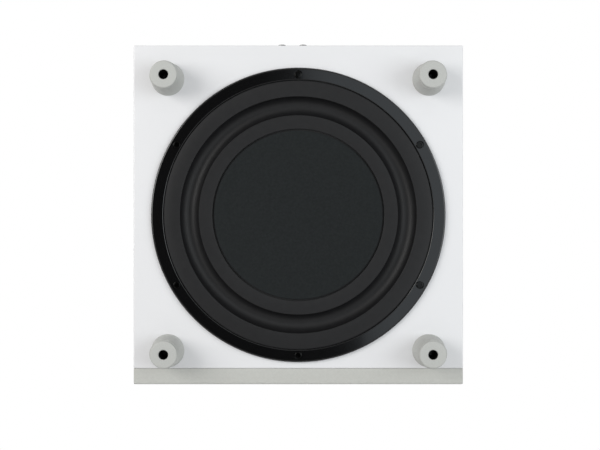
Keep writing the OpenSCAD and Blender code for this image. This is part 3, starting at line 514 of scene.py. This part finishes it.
trim_in, trim_out, trim_top, _ = gauge("radiator_trim_ring", bottom_unit)
screw_r = 0.1485
well = 0.00435
well_depth = 0.0024
trim = object_of("radiator_trim", turned([
    (trim_in, 0), *arc(trim_in + 0.0008, trim_top + 0.0008, 0.0008, 180, 270, 5),
    *arc(trim_out - 0.0018, trim_top + 0.0018, 0.0018, 270, 360, 9), (trim_out, 0),
], 288), bottom_unit)
screw_turns = [Matrix.Rotation(math.radians(30 + 60 * k), 4, "Z") for k in range(6)]
screw_spots = [turn @ Matrix.Translation((screw_r, 0, 0)) for turn in screw_turns]
wells = []
for spot in screw_spots:
    bore = turned([(0, trim_top - over), (well, trim_top - over), (well, trim_top + well_depth),
                   (0.0022, trim_top + well_depth), (0.0022, over), (0, over)], 40)
    wells.append(object_of("well", bore, bottom_unit @ spot))
carve(trim, *wells)
settle(trim, gloss_black, "cabinet", "gloss_black", "radiator_trim_ring", flat_first=True)

head_h = 0.0023
thread_end = 0.017
below = trim_top + 0.0001
ahead = -head_h
rim_screw = socket_screw(0.0039, head_h, 0.002, thread_end - below, 0.0019, 0.0015)
rim_places = [bottom_unit @ spot @ Matrix.Translation((0, 0, below)) for spot in screw_spots]
rim_places += [front_unit @ spot @ Matrix.Translation((0, 0, ahead)) for spot in screw_spots]
settle(copies("rim_screw_set", rim_screw, rim_places), black_steel, "cabinet", "black_steel",
       "rim_screws")

# ---------------------------------------------------------------- rubber rings and surrounds
# Each sound unit has a flat ring of black rubber glued round its edge, and a surround with one
# roll, sunk into the cabinet, that carries the cone. The rubber is satin, with a faint bloom.

rubber = Finish("rubber", {"Specular IOR Level": 0.32})
bloom = rubber.noise(0.006, 4)
rubber.paint(
    colour=rubber.mix((0.0078, 0.0078, 0.0084), (0.0118, 0.0118, 0.0125), bloom),
    roughness=0.42 + bloom * 0.08,
)
rubber.emboss(rubber.noise(0.0007, 2), 0.00003)

ring_in, ring_out, ring_top, ring_back = gauge("radiator_edge_ring", bottom_unit)
trimmed = 0.0006
ease = 0.0004
for unit, side in ((bottom_unit, "radiator"), (front_unit, "driver")):
    outline = [
        (ring_in, ring_back), *arc(ring_in + ease, ring_top + ease, ease, 180, 270, 4),
        *arc(ring_out - trimmed - ease, ring_top + ease, ease, 270, 360, 4),
        (ring_out - trimmed, ring_back),
    ]
    ring = object_of(side + "_rubber_ring", turned(outline, 240), unit)
    settle(ring, rubber, "cabinet", "rubber", side + "_edge_ring")


def follow(piece, start_r, end_r, place):
    """Bakes a piece's place into its mesh and works out each point's share between two radii by its
    distance from the unit's axis; the share is not applied.
    """
    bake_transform(piece)
    back = place.inverted()
    points = np.array([back @ v.co for v in piece.data.vertices])
    share = np.clip((start_r - np.hypot(points[:, 0], points[:, 1])) / (start_r - end_r), 0, 1)


rubber_t = 0.0012
moving_units = ((bottom_unit, "radiator", "radiator"), (front_unit, "driver", "driver_moving"))
for unit, side, body in moving_units:
    lip_r, rim_r, _, roll_depth = gauge(side + "_surround", unit)
    roll_in = ring_in - 2 * roll_depth
    roll_middle = (ring_in + roll_in) / 2
    back_r = roll_depth + rubber_t
    start = math.degrees(math.asin(rubber_t / back_r))
    ease = 0.0005
    outline = [
        (lip_r, 0), *arc(lip_r + ease, ease - rubber_t, ease, 180, 270, 3)[:-1],
        (lip_r + ease, -rubber_t), *arc(roll_middle, -rubber_t, roll_depth, 180, 0, 40),
        (rim_r, -rubber_t), (rim_r, 0), *arc(roll_middle, -rubber_t, back_r, start, 180 - start, 40),
    ]
    surround = object_of(side + "_rubber_surround", turned(outline, 240), unit)
    settle(surround, rubber, None, "rubber", side + "_surround", crease=40)
    follow(surround, ring_in, roll_in, unit)

# ---------------------------------------------------------------- radiator disc
# A stiff flat disc is glued on the passive radiator's cone. Its facing is a fine woven cloth, dark
# blue-green grey, and its edge leaves a narrow groove to the rubber.

disc_cloth = Finish("woven_disc", {"Roughness": 0.7, "Specular IOR Level": 0.24})
thread = 0.00055
warp = (disc_cloth.axis("X") / thread * math.pi).sine()
weft = (disc_cloth.axis("Y") / thread * math.pi).sine()
weave = warp * weft * 0.5 + 0.5
slubs = disc_cloth.noise(0.0024, 4)
disc_cloth.paint(colour=disc_cloth.mix(
    (0.0010, 0.0026, 0.0030), (0.0140, 0.0172, 0.0180), weave * 0.25 + slubs * 0.75))
disc_cloth.emboss(weave * 0.6 + slubs * 0.4, 0.00012)

_, disc_r, disc_top, core_top = gauge("radiator_disc", bottom_unit)
core_r = disc_r - 0.013
disc_edge = 0.0003
disc = object_of("radiator_disc_facing", turned([
    (0, disc_top), (disc_r - disc_edge, disc_top), (disc_r, disc_top + disc_edge), (disc_r, 0),
    (core_r, 0), (core_r, core_top), (0, core_top),
], 192), bottom_unit)
settle(disc, disc_cloth, "radiator", "woven_disc", "radiator_disc")

# ---------------------------------------------------------------- grille
# A painted board frame with an opening for the driver, wrapped in light grey acoustic cloth that
# is pulled tight over the edges. Four plastic pegs on its back push into rubber cups in the cabinet.

acoustic_cloth = Finish(
    "grille_cloth", {"Roughness": 0.9, "Sheen Weight": 0.25, "Sheen Roughness": 0.5})
flat_cut = acoustic_cloth.node("TexCoord", out="UV")
yarn = 0.0008
warp = (acoustic_cloth.axis("X", flat_cut) * (math.pi / yarn)).sine()
weft = (acoustic_cloth.axis("Y", flat_cut) * (math.pi / yarn)).sine()
weave = warp * weft * 0.5 + 0.5
slubs = acoustic_cloth.noise(0.003, 3)
acoustic_cloth.paint(colour=acoustic_cloth.mix(
    shade(182, 183, 177), shade(212, 212, 207), weave * 0.55 + slubs * 0.45))
acoustic_cloth.emboss(weave, 0.00018)

cloth_low, cloth_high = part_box("grille_cloth")
cloth_size = cloth_high - cloth_low
cloth_middle = (cloth_low + cloth_high) / 2
cloth_t = 0.0006
frame_w = 0.015
made = slab(cloth_size)
back = [f for f in made.faces if f.normal.y > 0.9]
bmesh.ops.delete(made, geom=back, context="FACES_ONLY")
round_edges = [e for e in made.edges if len(e.link_faces) == 2]
bmesh.ops.bevel(made, geom=round_edges, offset=0.002, segments=4, profile=0.5, affect="EDGES")
for axis in ((1, 0, 0), (0, 0, 1)):
    half = cloth_size.x / 2
    for place in [half * k / 24 for k in range(-23, 24)]:
        bmesh.ops.bisect_plane(
            made, geom=made.verts[:] + made.edges[:] + made.faces[:],
            plane_co=Vector(axis) * place, plane_no=axis)
taut_dip = 0.0004
for v in made.verts:
    inset = min(cloth_size.x / 2 - abs(v.co.x), cloth_size.z / 2 - abs(v.co.z)) - frame_w
    if v.co.y < -cloth_size.y / 2 + 1e-5 and inset > 0:
        v.co.y += taut_dip * min(1, inset / 0.03) ** 0.5
layer = made.loops.layers.uv.new("flat_cut")
made.normal_update()
for face in made.faces:
    for loop in face.loops:
        x, y, z = loop.vert.co
        turned_back = y + cloth_size.y / 2
        if abs(face.normal.x) > abs(face.normal.z):
            loop[layer].uv = (x + math.copysign(turned_back, x), z)
        else:
            loop[layer].uv = (x, z + math.copysign(turned_back, z))
cloth = object_of("grille_cloth_wrap", made, Matrix.Translation(cloth_middle))
thicken = cloth.modifiers.new("thicken", "SOLIDIFY")
thicken.thickness, thicken.offset = cloth_t, -1
bpy.context.view_layer.update()
applied(cloth)
settle(cloth, acoustic_cloth, "grille", "grille_cloth", "grille_cloth", crease=50)

painted_board = speckled(
    "grille_board", (0.030, 0.030, 0.031), (0.052, 0.052, 0.053), 0.006, 0.7, 0.0011, 0.0001)
moulding = speckled(
    "black_moulding", (0.011, 0.011, 0.012), (0.021, 0.021, 0.022), 0.004, 0.46, 0.0006, 0.00005)


def keep(finish, *nodes):
    """Shows CAD nodes as they are, with a finish."""
    for name in nodes:
        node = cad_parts[name]
        node.data.materials.clear()
        node.data.materials.append(finish.material)
        for face in node.data.polygons:
            face.material_index = 0


keep(painted_board, "grille_frame")
keep(moulding, "grille_pegs")
keep(rubber, "grille_cups")

# ---------------------------------------------------------------- cones and dust cap
# Both cones are thin shells of pressed pulp with a faint felted grain. The driver's cone carries a
# domed cap, and the radiator's cone a steel weight on a fibre tube.

pulp = Finish("cone_pulp", {"Specular IOR Level": 0.35})
felt = pulp.noise(0.0016, 5)
pulp.paint(
    colour=pulp.mix((0.009, 0.009, 0.0095), (0.021, 0.021, 0.0215), felt),
    roughness=0.62 + felt * 0.1,
)
pulp.emboss(felt, 0.00018)
for unit, side, body in moving_units:
    neck_in, rim_out, face, neck_end = gauge(side + "_cone", unit)
    skin = 0.0014
    if side == "radiator":
        lip, back_level = 0.085, neck_end - 0.0024
        step = [(lip, 0.0013), (0.0914, 0.0013), (0.0920, face)]
    else:
        lip, back_level = 0.094, neck_end - skin
        step = [(lip, face)]
    bend = [
        (lip + (neck_in - lip) * t, 0.0008 + (back_level - 0.0008) * (t ** 0.94))
        for t in [k / 14 for k in range(15)]
    ]
    outline = [
        *step, (rim_out - 0.0003, face), (rim_out, face + 0.0003), (rim_out, 0.0019),
        (lip + 0.0002, 0.0019), *[(r + 0.0004, level + skin) for r, level in bend[1:-1]],
        (neck_in + 0.0002, neck_end), (neck_in, neck_end), *bend[::-1],
    ]
    cone = object_of(side + "_pulp_cone", turned(outline, 160), unit)
    settle(cone, pulp, body, "cone_pulp", side + "_cone", crease=28)

_, cap_out, cap_top, cap_foot = gauge("driver_dust_cap", front_unit)
cap_r = cap_out - 0.003
cap_h = 0.012
big_r = (cap_r ** 2 + cap_h ** 2) / (2 * cap_h)
half = math.degrees(math.asin(cap_r / big_r))
cap_skin = 0.0008
outer = arc(0, cap_top + big_r, big_r, -90, -90 + half, 16)
inner = arc(0, cap_top + big_r, big_r - cap_skin, -90 + half, -90, 16)
foot_low = cap_foot - 0.0001
cap_outline = [*outer, (cap_out, foot_low - cap_skin), (cap_out, foot_low), *inner]
cap = object_of("driver_cap", turned(cap_outline, 128), front_unit)
settle(cap, pulp, "driver_moving", "cone_pulp", "driver_dust_cap", crease=28)

# ---------------------------------------------------------------- spiders
# Two centring discs of amber varnished cloth, pressed into ripples. Their rims are glued to the
# baskets, and their holes to the coil former and to the radiator's fibre tube.

varnished = Finish("suspension_cloth", {"Specular IOR Level": 0.4})
thread = 0.0009
warp = (varnished.axis("X") * (math.pi / thread)).sine()
weft = (varnished.axis("Y") * (math.pi / thread)).sine()
weave = warp * weft * 0.5 + 0.5
amber = weave * 0.6 + varnished.noise(0.004) * 0.4
varnished.paint(
    colour=varnished.mix((0.33, 0.17, 0.035), (0.62, 0.38, 0.12), amber),
    roughness=0.55 + weave * 0.15,
)
varnished.emboss(weave, 0.0003)
for unit, side, body in moving_units:
    hole, rim, lowest, highest = gauge(side + "_spider", unit)
    skin = 0.0008
    ripple = (highest - lowest - skin) / 2
    level = lowest + ripple
    start_r = 0.075
    end_r = 0.033 if side == "radiator" else 0.028
    waves = 5
    wave = [
        (end_r + (start_r - end_r) * t, level + ripple * math.sin(2 * math.pi * waves * t))
        for t in [k / 90 for k in range(91)]
    ]
    outline = [
        (hole, level), *wave, (rim, level), (rim, level + skin),
        *[(r, z + skin) for r, z in wave[::-1]], (hole, level + skin),
    ]
    spider = object_of(side + "_cloth_spider", turned(outline, 144), unit)
    settle(spider, varnished, None, "suspension_cloth", side + "_spider", crease=50)
    follow(spider, start_r, end_r, unit)

# ---------------------------------------------------------------- baskets and motor
# Cast baskets in textured black, a fibre tube with its steel weight, and the driver's motor: zinc
# plated steel round a ferrite ring, with a copper coil on a light alloy former.

cast = speckled("cast_basket", (0.012, 0.012, 0.013), (0.022, 0.022, 0.023), 0.003, 0.52, 0.0009, 0.00014)
keep(cast, "radiator_frame", "driver_frame")
zinc = speckled(
    "zinc_steel", (0.40, 0.42, 0.44), (0.56, 0.57, 0.58), 0.004, 0.30, 0.0012, 0.00002,
    {"Metallic": 1.0},
)
keep(zinc, "radiator_weight", "top_plate", "pole_piece")
ferrite = speckled("ferrite", (0.020, 0.020, 0.021), (0.038, 0.038, 0.040), 0.003, 0.55, 0.0006, 0.00006)
keep(ferrite, "ferrite_magnet")
fibre = speckled("fibre_strip", (0.11, 0.058, 0.022), (0.17, 0.095, 0.04), 0.002, 0.6, 0.0008, 0.00005)
keep(fibre, "radiator_neck", "terminal_strip")
alloy = speckled(
    "coil_former", (0.62, 0.62, 0.62), (0.74, 0.74, 0.73), 0.003, 0.34, 0.0008, 0.00002,
    {"Metallic": 0.9},
)
keep(alloy, "voice_coil_former")

copper = Finish("copper_wire", {"Metallic": 0.95})
wire_pitch = 0.0006
wound = (copper.axis("Y") * (2 * math.pi / wire_pitch)).sine() * 0.5 + 0.5
enamel = wound * 0.7 + copper.noise(0.002) * 0.3
copper.paint(
    colour=copper.mix((0.36, 0.13, 0.045), (0.62, 0.27, 0.11), enamel),
    roughness=0.26 + wound * 0.12,
)
copper.emboss(wound, 0.0001)
coil_in, coil_out, coil_low, coil_high = gauge("voice_coil_winding", front_unit)
wires = 28
pitch = (coil_high - coil_low) / wires
beads = []
for k in range(wires):
    beads += arc(coil_out - pitch / 2, coil_low + pitch * (k + 0.5), pitch / 2, -80, 80, 4)
coil_outline = [(coil_in, coil_low), *beads, (coil_in, coil_high)]
coil = object_of("voice_coil_turns", turned(coil_outline, 96), front_unit)
settle(coil, copper, "driver_moving", "copper_wire", "voice_coil_winding")

# ---------------------------------------------------------------- leads
# Two braided copper leads loop from the terminal strip to the cone. Two insulated red leads run
# from the amplifier through the brace's window to the strip.


def skinned(made, rings):
    """Closes a row of rings of corners into one solid."""
    steps = len(rings[0])
    for ring, after in zip(rings, rings[1:]):
        for k in range(steps):
            made.faces.new((ring[k], ring[(k + 1) % steps], after[(k + 1) % steps], after[k]))
    made.faces.new(rings[0])
    made.faces.new(rings[-1])


def threaded(name, route, radius, place, between, sides=10):
    """A round lead swept along a smooth line through the points of a route."""
    points = [Vector(p) for p in route]
    line = []
    for i in range(len(points) - 1):
        before, start = points[max(i - 1, 0)], points[i]
        end, after = points[i + 1], points[min(i + 2, len(points) - 1)]
        for t in [k / between for k in range(between)]:
            line.append(0.5 * (
                2 * start + (end - before) * t + (2 * before - 5 * start + 4 * end - after) * t * t
                + (3 * start - before - 3 * end + after) * t ** 3))
    line.append(points[-1])
    made = bmesh.new()
    rings = []
    for i, middle in enumerate(line):
        heading = (line[min(i + 1, len(line) - 1)] - line[max(i - 1, 0)]).normalized()
        side = heading.cross(Vector((1, 0, 0))).normalized()
        up = heading.cross(side)
        turns = [2 * math.pi * k / sides for k in range(sides)]
        rings.append([
            made.verts.new(middle + radius * (side * math.cos(a) + up * math.sin(a))) for a in turns
        ])
    skinned(made, rings)
    return object_of(name, made, place)


blade_x = 0.007
tinsel_r = 0.0009
loop = ((-95.5, 63.6), (-95.5, 57), (-92, 50), (-82, 46), (-70, 47), (-58, 44), (-48, 39.5))
braid = Finish("copper_braid", {"Metallic": 0.85})
plait = braid.node("TexWave", {"bands_direction": "DIAGONAL"}, {"Scale": 900, "Distortion": 2.0})
braid.paint(colour=braid.mix((0.30, 0.13, 0.06), (0.60, 0.33, 0.17), plait), roughness=0.35 + plait * 0.15)
braid.emboss(plait, 0.0001)
for number, x in enumerate((-blade_x, blade_x)):
    route = [(x, y / 1000, z / 1000) for y, z in loop]
    lead = threaded(f"tinsel_lead_{number}", route, tinsel_r, front_unit, 5)
    settle(lead, braid, None, "copper_wire", "tinsel_leads")
    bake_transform(lead)

lead_r = 0.0013
wire_low, wire_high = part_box("speaker_wires")
plug_z = wire_high.z - 0.0018 - 0.006
insulation = speckled(
    "red_insulation", (0.26, 0.012, 0.010), (0.34, 0.020, 0.015), 0.004, 0.38, 0.0008, 0.00003)
for number, side in enumerate((-1, 1)):
    route = [
        (blade_x * side, wire_low.y, plug_z), (blade_x * side, wire_low.y + 0.014, plug_z + 0.002),
        (0.006 * side, wire_low.y + 0.040, plug_z + 0.006), (0.008 + 0.004 * side, middle_y, plug_z),
        (0.016 + 0.003 * side, middle_y + 0.027, plug_z - 0.012),
        (0.026 + 0.003 * side, wire_high.y - 0.040, plug_z - 0.024),
        (0.030 + 0.003 * side, wire_high.y - 0.014, plug_z - 0.030),
        (0.030 + 0.003 * side, wire_high.y, plug_z - 0.030),
    ]
    lead = threaded(f"speaker_lead_{number}", route, lead_r, None, 7)
    settle(lead, insulation, "cabinet", "red_insulation", "speaker_wires")

# ---------------------------------------------------------------- brace and wadding
# A bare board brace with a large window ties the side walls together. Two pads of loose white
# polyester fibre are glued to the walls in front of it.

keep(board, "cabinet_brace")
fluff = Finish("wadding", {"Roughness": 0.95, "Sheen Weight": 0.4, "Sheen Roughness": 0.6})
strands = fluff.noise(0.0012, 6, (1, 0.35, 0.35))
tufts = strands * 0.7 + fluff.noise(0.018, 3) * 0.3
fluff.paint(colour=fluff.mix((0.52, 0.52, 0.49), (0.80, 0.80, 0.77), tufts))
fluff.emboss(strands * 0.6 + fluff.noise(0.006, 3) * 0.4, 0.0016)
pad_low, pad_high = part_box("acoustic_wadding")
pad_middle = (pad_low + pad_high) / 2
pad_t = 0.024
for side, pad_name in ((-1, "wadding_left"), (1, "wadding_right")):
    middle = Vector((side * (pad_high.x - pad_t / 2), pad_middle.y, pad_middle.z))
    size = Vector((pad_t, pad_high.y - pad_low.y, pad_high.z - pad_low.z))
    made = slab(size)
    bmesh.ops.subdivide_edges(made, edges=made.edges, cuts=26, use_grid_fill=True)
    for v in made.verts:
        near = [size[i] / 2 - abs(v.co[i]) for i in (1, 2)]
        ease = min(1, min(near) / 0.016)
        crown = math.sqrt(max(0.0, 1 - (1 - ease) ** 2))
        lumps = math.sin(v.co.y * 130 + v.co.z * 70) * math.sin(v.co.z * 95 - v.co.y * 40 + side)
        thin = 0.55 + 0.45 * crown - 0.04 * (1 + lumps) * ease
        inward = v.co.x * -side
        v.co.x = -side * (-size.x / 2 + (inward + size.x / 2) * thin)
        v.co.y *= 1 - 0.012 * (1 + math.sin(v.co.z * 85))
        v.co.z *= 1 - 0.008 * (1 + math.sin(v.co.y * 140))
    pad = object_of(pad_name, made, Matrix.Translation(middle))
    settle(pad, fluff, "cabinet", "wadding", "acoustic_wadding", crease=60)

# ---------------------------------------------------------------- amplifier plate and screws
# A black powder-coated aluminium plate closes the back. It carries all the controls, and ten
# cross-slotted pan-head screws hold it on. A plastic tub seals the electronics behind it.

powder_coat = speckled(
    "black_plate", (0.0075, 0.0075, 0.008), (0.014, 0.014, 0.0145), 0.012, 0.42, 0.0007, 0.00006)
face_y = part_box("amp_plate")[1].y


def on_back(x, z):
    """The place of a control on the plate: local +Z points out of the back, local Y down."""
    return Matrix.Translation((x, face_y, z)) @ Matrix.Rotation(-math.pi / 2, 4, "X")


def middle_of(node):
    low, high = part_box(node)
    return (low + high) / 2


keep(powder_coat, "amp_plate")
keep(moulding, "amp_tub")
screw_low, screw_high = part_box("amp_screws")
head_r = 0.0034
lowest_z, highest_z = screw_low.z + head_r, screw_high.z - head_r
row_z = [lowest_z + (highest_z - lowest_z) * k / 4 for k in range(5)]
amp_places = [on_back(x, z) for x in (screw_low.x + head_r, screw_high.x - head_r) for z in row_z]
pan_top = screw_high.y - face_y
pan_end = screw_low.y - face_y
pan = object_of("pan_screw", turned([
    (0, pan_top), (0.0012, pan_top), *arc(head_r - 0.0011, pan_top - 0.0011, 0.0011, 75, 0, 5),
    (head_r, 0), (0.0019, 0), (0.0019, -0.012), (0.0012, pan_end + 0.0015), (0, pan_end),
], 40))
slots = [object_of("slot", slab(size), Matrix.Translation((0, 0, pan_top)))
         for size in ((0.0038, 0.0009, 0.002), (0.0009, 0.0038, 0.002))]
carve(pan, *slots)
settle(copies("amp_screw_set", pan, amp_places), black_steel, "cabinet", "black_steel", "amp_screws")

anodised = speckled(
    "black_anodised", (0.012, 0.012, 0.013), (0.024, 0.024, 0.026), 0.01, 0.36, 0.0006, 0.00002,
    {"Metallic": 0.55},
)
keep(anodised, "heat_sink")

# ---------------------------------------------------------------- controls
# Two fluted knobs with white pointers and printed scale ticks, two small white slide levers, a
# status light, a rocker switch and a pair of nickel audio sockets with coloured insulators.


def fluted(rows, flutes, depth, steps=180):
    """A knob built up of rings: each row is a radius, a level and its share of the flutes."""
    made = bmesh.new()
    rings = []
    for radius, level, share in rows:
        ring = []
        for k in range(steps):
            turn = 2 * math.pi * k / steps
            reach = radius - max(0.0, math.cos(flutes * turn)) ** 0.7 * depth * share
            ring.append(made.verts.new((reach * math.cos(turn), reach * math.sin(turn), level)))
        rings.append(ring)
    skinned(made, rings)
    return made


pad_print = speckled(
    "pad_print", (0.66, 0.66, 0.65), (0.76, 0.76, 0.75), 0.002, 0.5, 0.0005, 0.00001)
stem_r = 0.003
for name in ("gain_knob", "crossover_knob"):
    low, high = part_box(name)
    where = middle_of(name)
    place = on_back(where.x, where.z)
    knob_r = (high.x - low.x) / 2
    rise, top, stem_end = 0.001, high.y - face_y, low.y - face_y
    rows = [
        (knob_r - 0.0008, rise, 0), (knob_r, rise + 0.0008, 0), (knob_r, rise + 0.0022, 0),
        (knob_r - 0.0001, rise + 0.0030, 1), (knob_r - 0.0009, top - 0.0012, 1),
        (knob_r - 0.0012, top - 0.0005, 1), (knob_r - 0.0019, top - 0.0001, 0.3),
        (knob_r - 0.0026, top, 0), (knob_r - 0.0034, top - 0.0004, 0),
    ]
    cap = object_of(name + "_cap", fluted(rows, 18, 0.0006), place)
    root = rise + 0.001
    stem = turned([(0, stem_end), (stem_r, stem_end), (stem_r, root), (0, root)], 32)
    carve(cap, object_of("stem", stem, place), how="UNION")
    settle(cap, moulding, name, "black_moulding", name, crease=40)
    on_cap = place @ Matrix.Translation((0, -0.0060, top - 0.00035))
    bar = slab((0.0012, knob_r - 0.0040, 0.0006), 0.0002, 2)
    settle(object_of(name + "_pointer", bar, on_cap), pad_print, name, "switch_white")
    ticks = []
    for k in range(11):
        tick = slab((0.0006, 0.0022 if k % 5 else 0.0034, 0.00008))
        tick.transform(Matrix.Translation((0, -knob_r - 0.0034, 0.00003)))
        tick.transform(Matrix.Rotation(math.radians(-150 + 30 * k), 4, "Z"))
        ticks.append(tick)
    scale = object_of(name + "_scale", gathered(ticks), place)
    settle(scale, pad_print, "cabinet", "switch_white")

white_plastic = speckled(
    "switch_white", (0.64, 0.64, 0.63), (0.74, 0.74, 0.73), 0.002, 0.38, 0.0006, 0.00003)
keep(white_plastic, "phase_lever", "mode_lever")
pressed_can = speckled(
    "can_steel", (0.32, 0.33, 0.35), (0.46, 0.47, 0.49), 0.003, 0.33, 0.0008, 0.00002,
    {"Metallic": 1.0},
)
keep(pressed_can, "control_pots", "switch_bodies")
lens = speckled(
    "lens_clear", (0.62, 0.74, 0.82), (0.72, 0.82, 0.90), 0.002, 0.12, 0.0006, 0.00001,
    {"Transmission Weight": 0.45},
)
keep(lens, "status_lens")
keep(moulding, "rocker_housing", "power_rocker", "mains_inlet", "fuse_drawer")

nickel = speckled(
    "nickel", (0.13, 0.13, 0.125), (0.20, 0.20, 0.19), 0.003, 0.24, 0.0006, 0.00001,
    {"Metallic": 1.0},
)
socket_low, socket_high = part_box("rca_sockets")
nut_r = 0.0066
socket_r = 0.00415
socket_z = (socket_low.z + socket_high.z) / 2
socket_top = socket_high.y - face_y
socket_back = socket_low.y - face_y
left_socket = ("left", socket_high.x - nut_r, (0.75, 0.75, 0.74))
right_socket = ("right", socket_low.x + nut_r, (0.30, 0.012, 0.012))
for side, x, tint in (left_socket, right_socket):
    place = on_back(x, socket_z)
    barrel = object_of(f"socket_{side}_barrel", turned([
        (0.0031, socket_top - 0.0002), (0.0033, socket_top), (socket_r - 0.0004, socket_top),
        (socket_r, socket_top - 0.0004), (socket_r, 0.0016), (0.0048, 0.0012), (0.0048, 0.0001),
        (socket_r, 0.0001), (socket_r, socket_back + 0.0005), (socket_r - 0.0005, socket_back),
        (0.0031, socket_back),
    ], 64), place)
    settle(barrel, nickel, "cabinet", "nickel", "rca_sockets")
    nut = object_of(f"socket_{side}_nut", turned([
        (0.0046, 0.0012), (nut_r - 0.0008, 0.0012), (nut_r, 0.0008), (nut_r, 0.0001),
        (0.0046, 0.0001),
    ], 6), place)
    settle(nut, nickel, "cabinet", "nickel")
    pale = tuple(c * 1.15 for c in tint)
    ring_plastic = speckled(f"insulator_{side}", tint, pale, 0.002, 0.4, 0.0005, 0.00002)
    insulator = object_of(f"socket_{side}_insulator", turned([
        (0.0017, socket_top - 0.0009), (0.0030, socket_top - 0.0009),
        (0.0030, socket_top - 0.0085), (0.0017, socket_top - 0.0085),
    ], 48), place)
    settle(insulator, ring_plastic, "cabinet", "nickel")

# ---------------------------------------------------------------- inlet, fuse drawer and switch
# The moulded mains inlet has three plated blades in its cavity, and a drawer for two fuses below
# it. The rocker switch sits in a housing of its own above.

blade_metal = speckled(
    "plated_blade", (0.55, 0.55, 0.54), (0.66, 0.66, 0.65), 0.002, 0.25, 0.0006, 0.00001,
    {"Metallic": 1.0},
)
inlet = middle_of("mains_inlet")
plug_hole_z = inlet.z + 0.010
blades = []
for x, y in ((-0.007, 0.003), (0.007, 0.003), (0, -0.003)):
    blade = slab((0.00206, 0.00406, 0.0125), 0.0004, 2)
    blade.transform(Matrix.Translation((x, y, -0.0073)))
    blades.append(blade)
inlet_blades = object_of("inlet_blades", gathered(blades), on_back(inlet.x, plug_hole_z))
settle(inlet_blades, blade_metal, "cabinet", "nickel")

# ---------------------------------------------------------------- electronics
# Behind the plate stands the board on four posts, with a tape-wound transformer between two
# ferrite halves and two large capacitors in shrunk sleeves.

laminate = speckled(
    "circuit_board", (0.010, 0.095, 0.040), (0.016, 0.150, 0.062), 0.002, 0.33, 0.0008, 0.00004)
keep(laminate, "amp_board")
tape = speckled("winding_tape", (0.50, 0.32, 0.03), (0.62, 0.42, 0.06), 0.004, 0.45, 0.0008, 0.00003)
box_low, box_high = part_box("power_transformer")
middle = (box_low + box_high) / 2
half_t = 0.008
half_size = (box_high.x - box_low.x, half_t, box_high.z - box_low.z)
for end, y in (("inner", box_low.y + half_t / 2), ("outer", box_high.y - half_t / 2)):
    place = Matrix.Translation((middle.x, y, middle.z))
    core = object_of(f"transformer_core_{end}", slab(half_size, 0.0008, 2), place)
    settle(core, ferrite, "cabinet", "winding_tape", flat_first=True)
winding_size = (0.030, box_high.y - box_low.y - 2 * half_t, 0.040)
bobbin = object_of(
    "transformer_winding", slab(winding_size, 0.0025, 4), Matrix.Translation(middle))
settle(bobbin, tape, "cabinet", "winding_tape", "power_transformer", flat_first=True)

sleeve = speckled(
    "capacitor_sleeve", (0.014, 0.024, 0.075), (0.024, 0.040, 0.110), 0.004, 0.24, 0.0008, 0.00002)
cap_low, cap_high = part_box("filter_capacitors")
can_r = (cap_high.z - cap_low.z) / 2
can_z = (cap_low.z + cap_high.z) / 2
height = cap_high.y - cap_low.y
for number, x in enumerate((cap_low.x + can_r, cap_high.x - can_r)):
    base = Matrix.Translation((x, cap_low.y, can_z)) @ Matrix.Rotation(-math.pi / 2, 4, "X")
    can = object_of(f"capacitor_{number}", turned([
        (0, 0.0004), (can_r - 0.0022, 0.0004), (can_r - 0.0018, 0),
        *arc(can_r - 0.001, 0.001, 0.001, 270, 360, 4), (can_r, height - 0.0052),
        (can_r - 0.0007, height - 0.0042), (can_r - 0.0007, height - 0.0036),
        (can_r, height - 0.0030), (can_r - 0.0007, height), (0, height),
    ], 64), base)
    settle(can, sleeve, "cabinet", "capacitor_sleeve", "filter_capacitors")
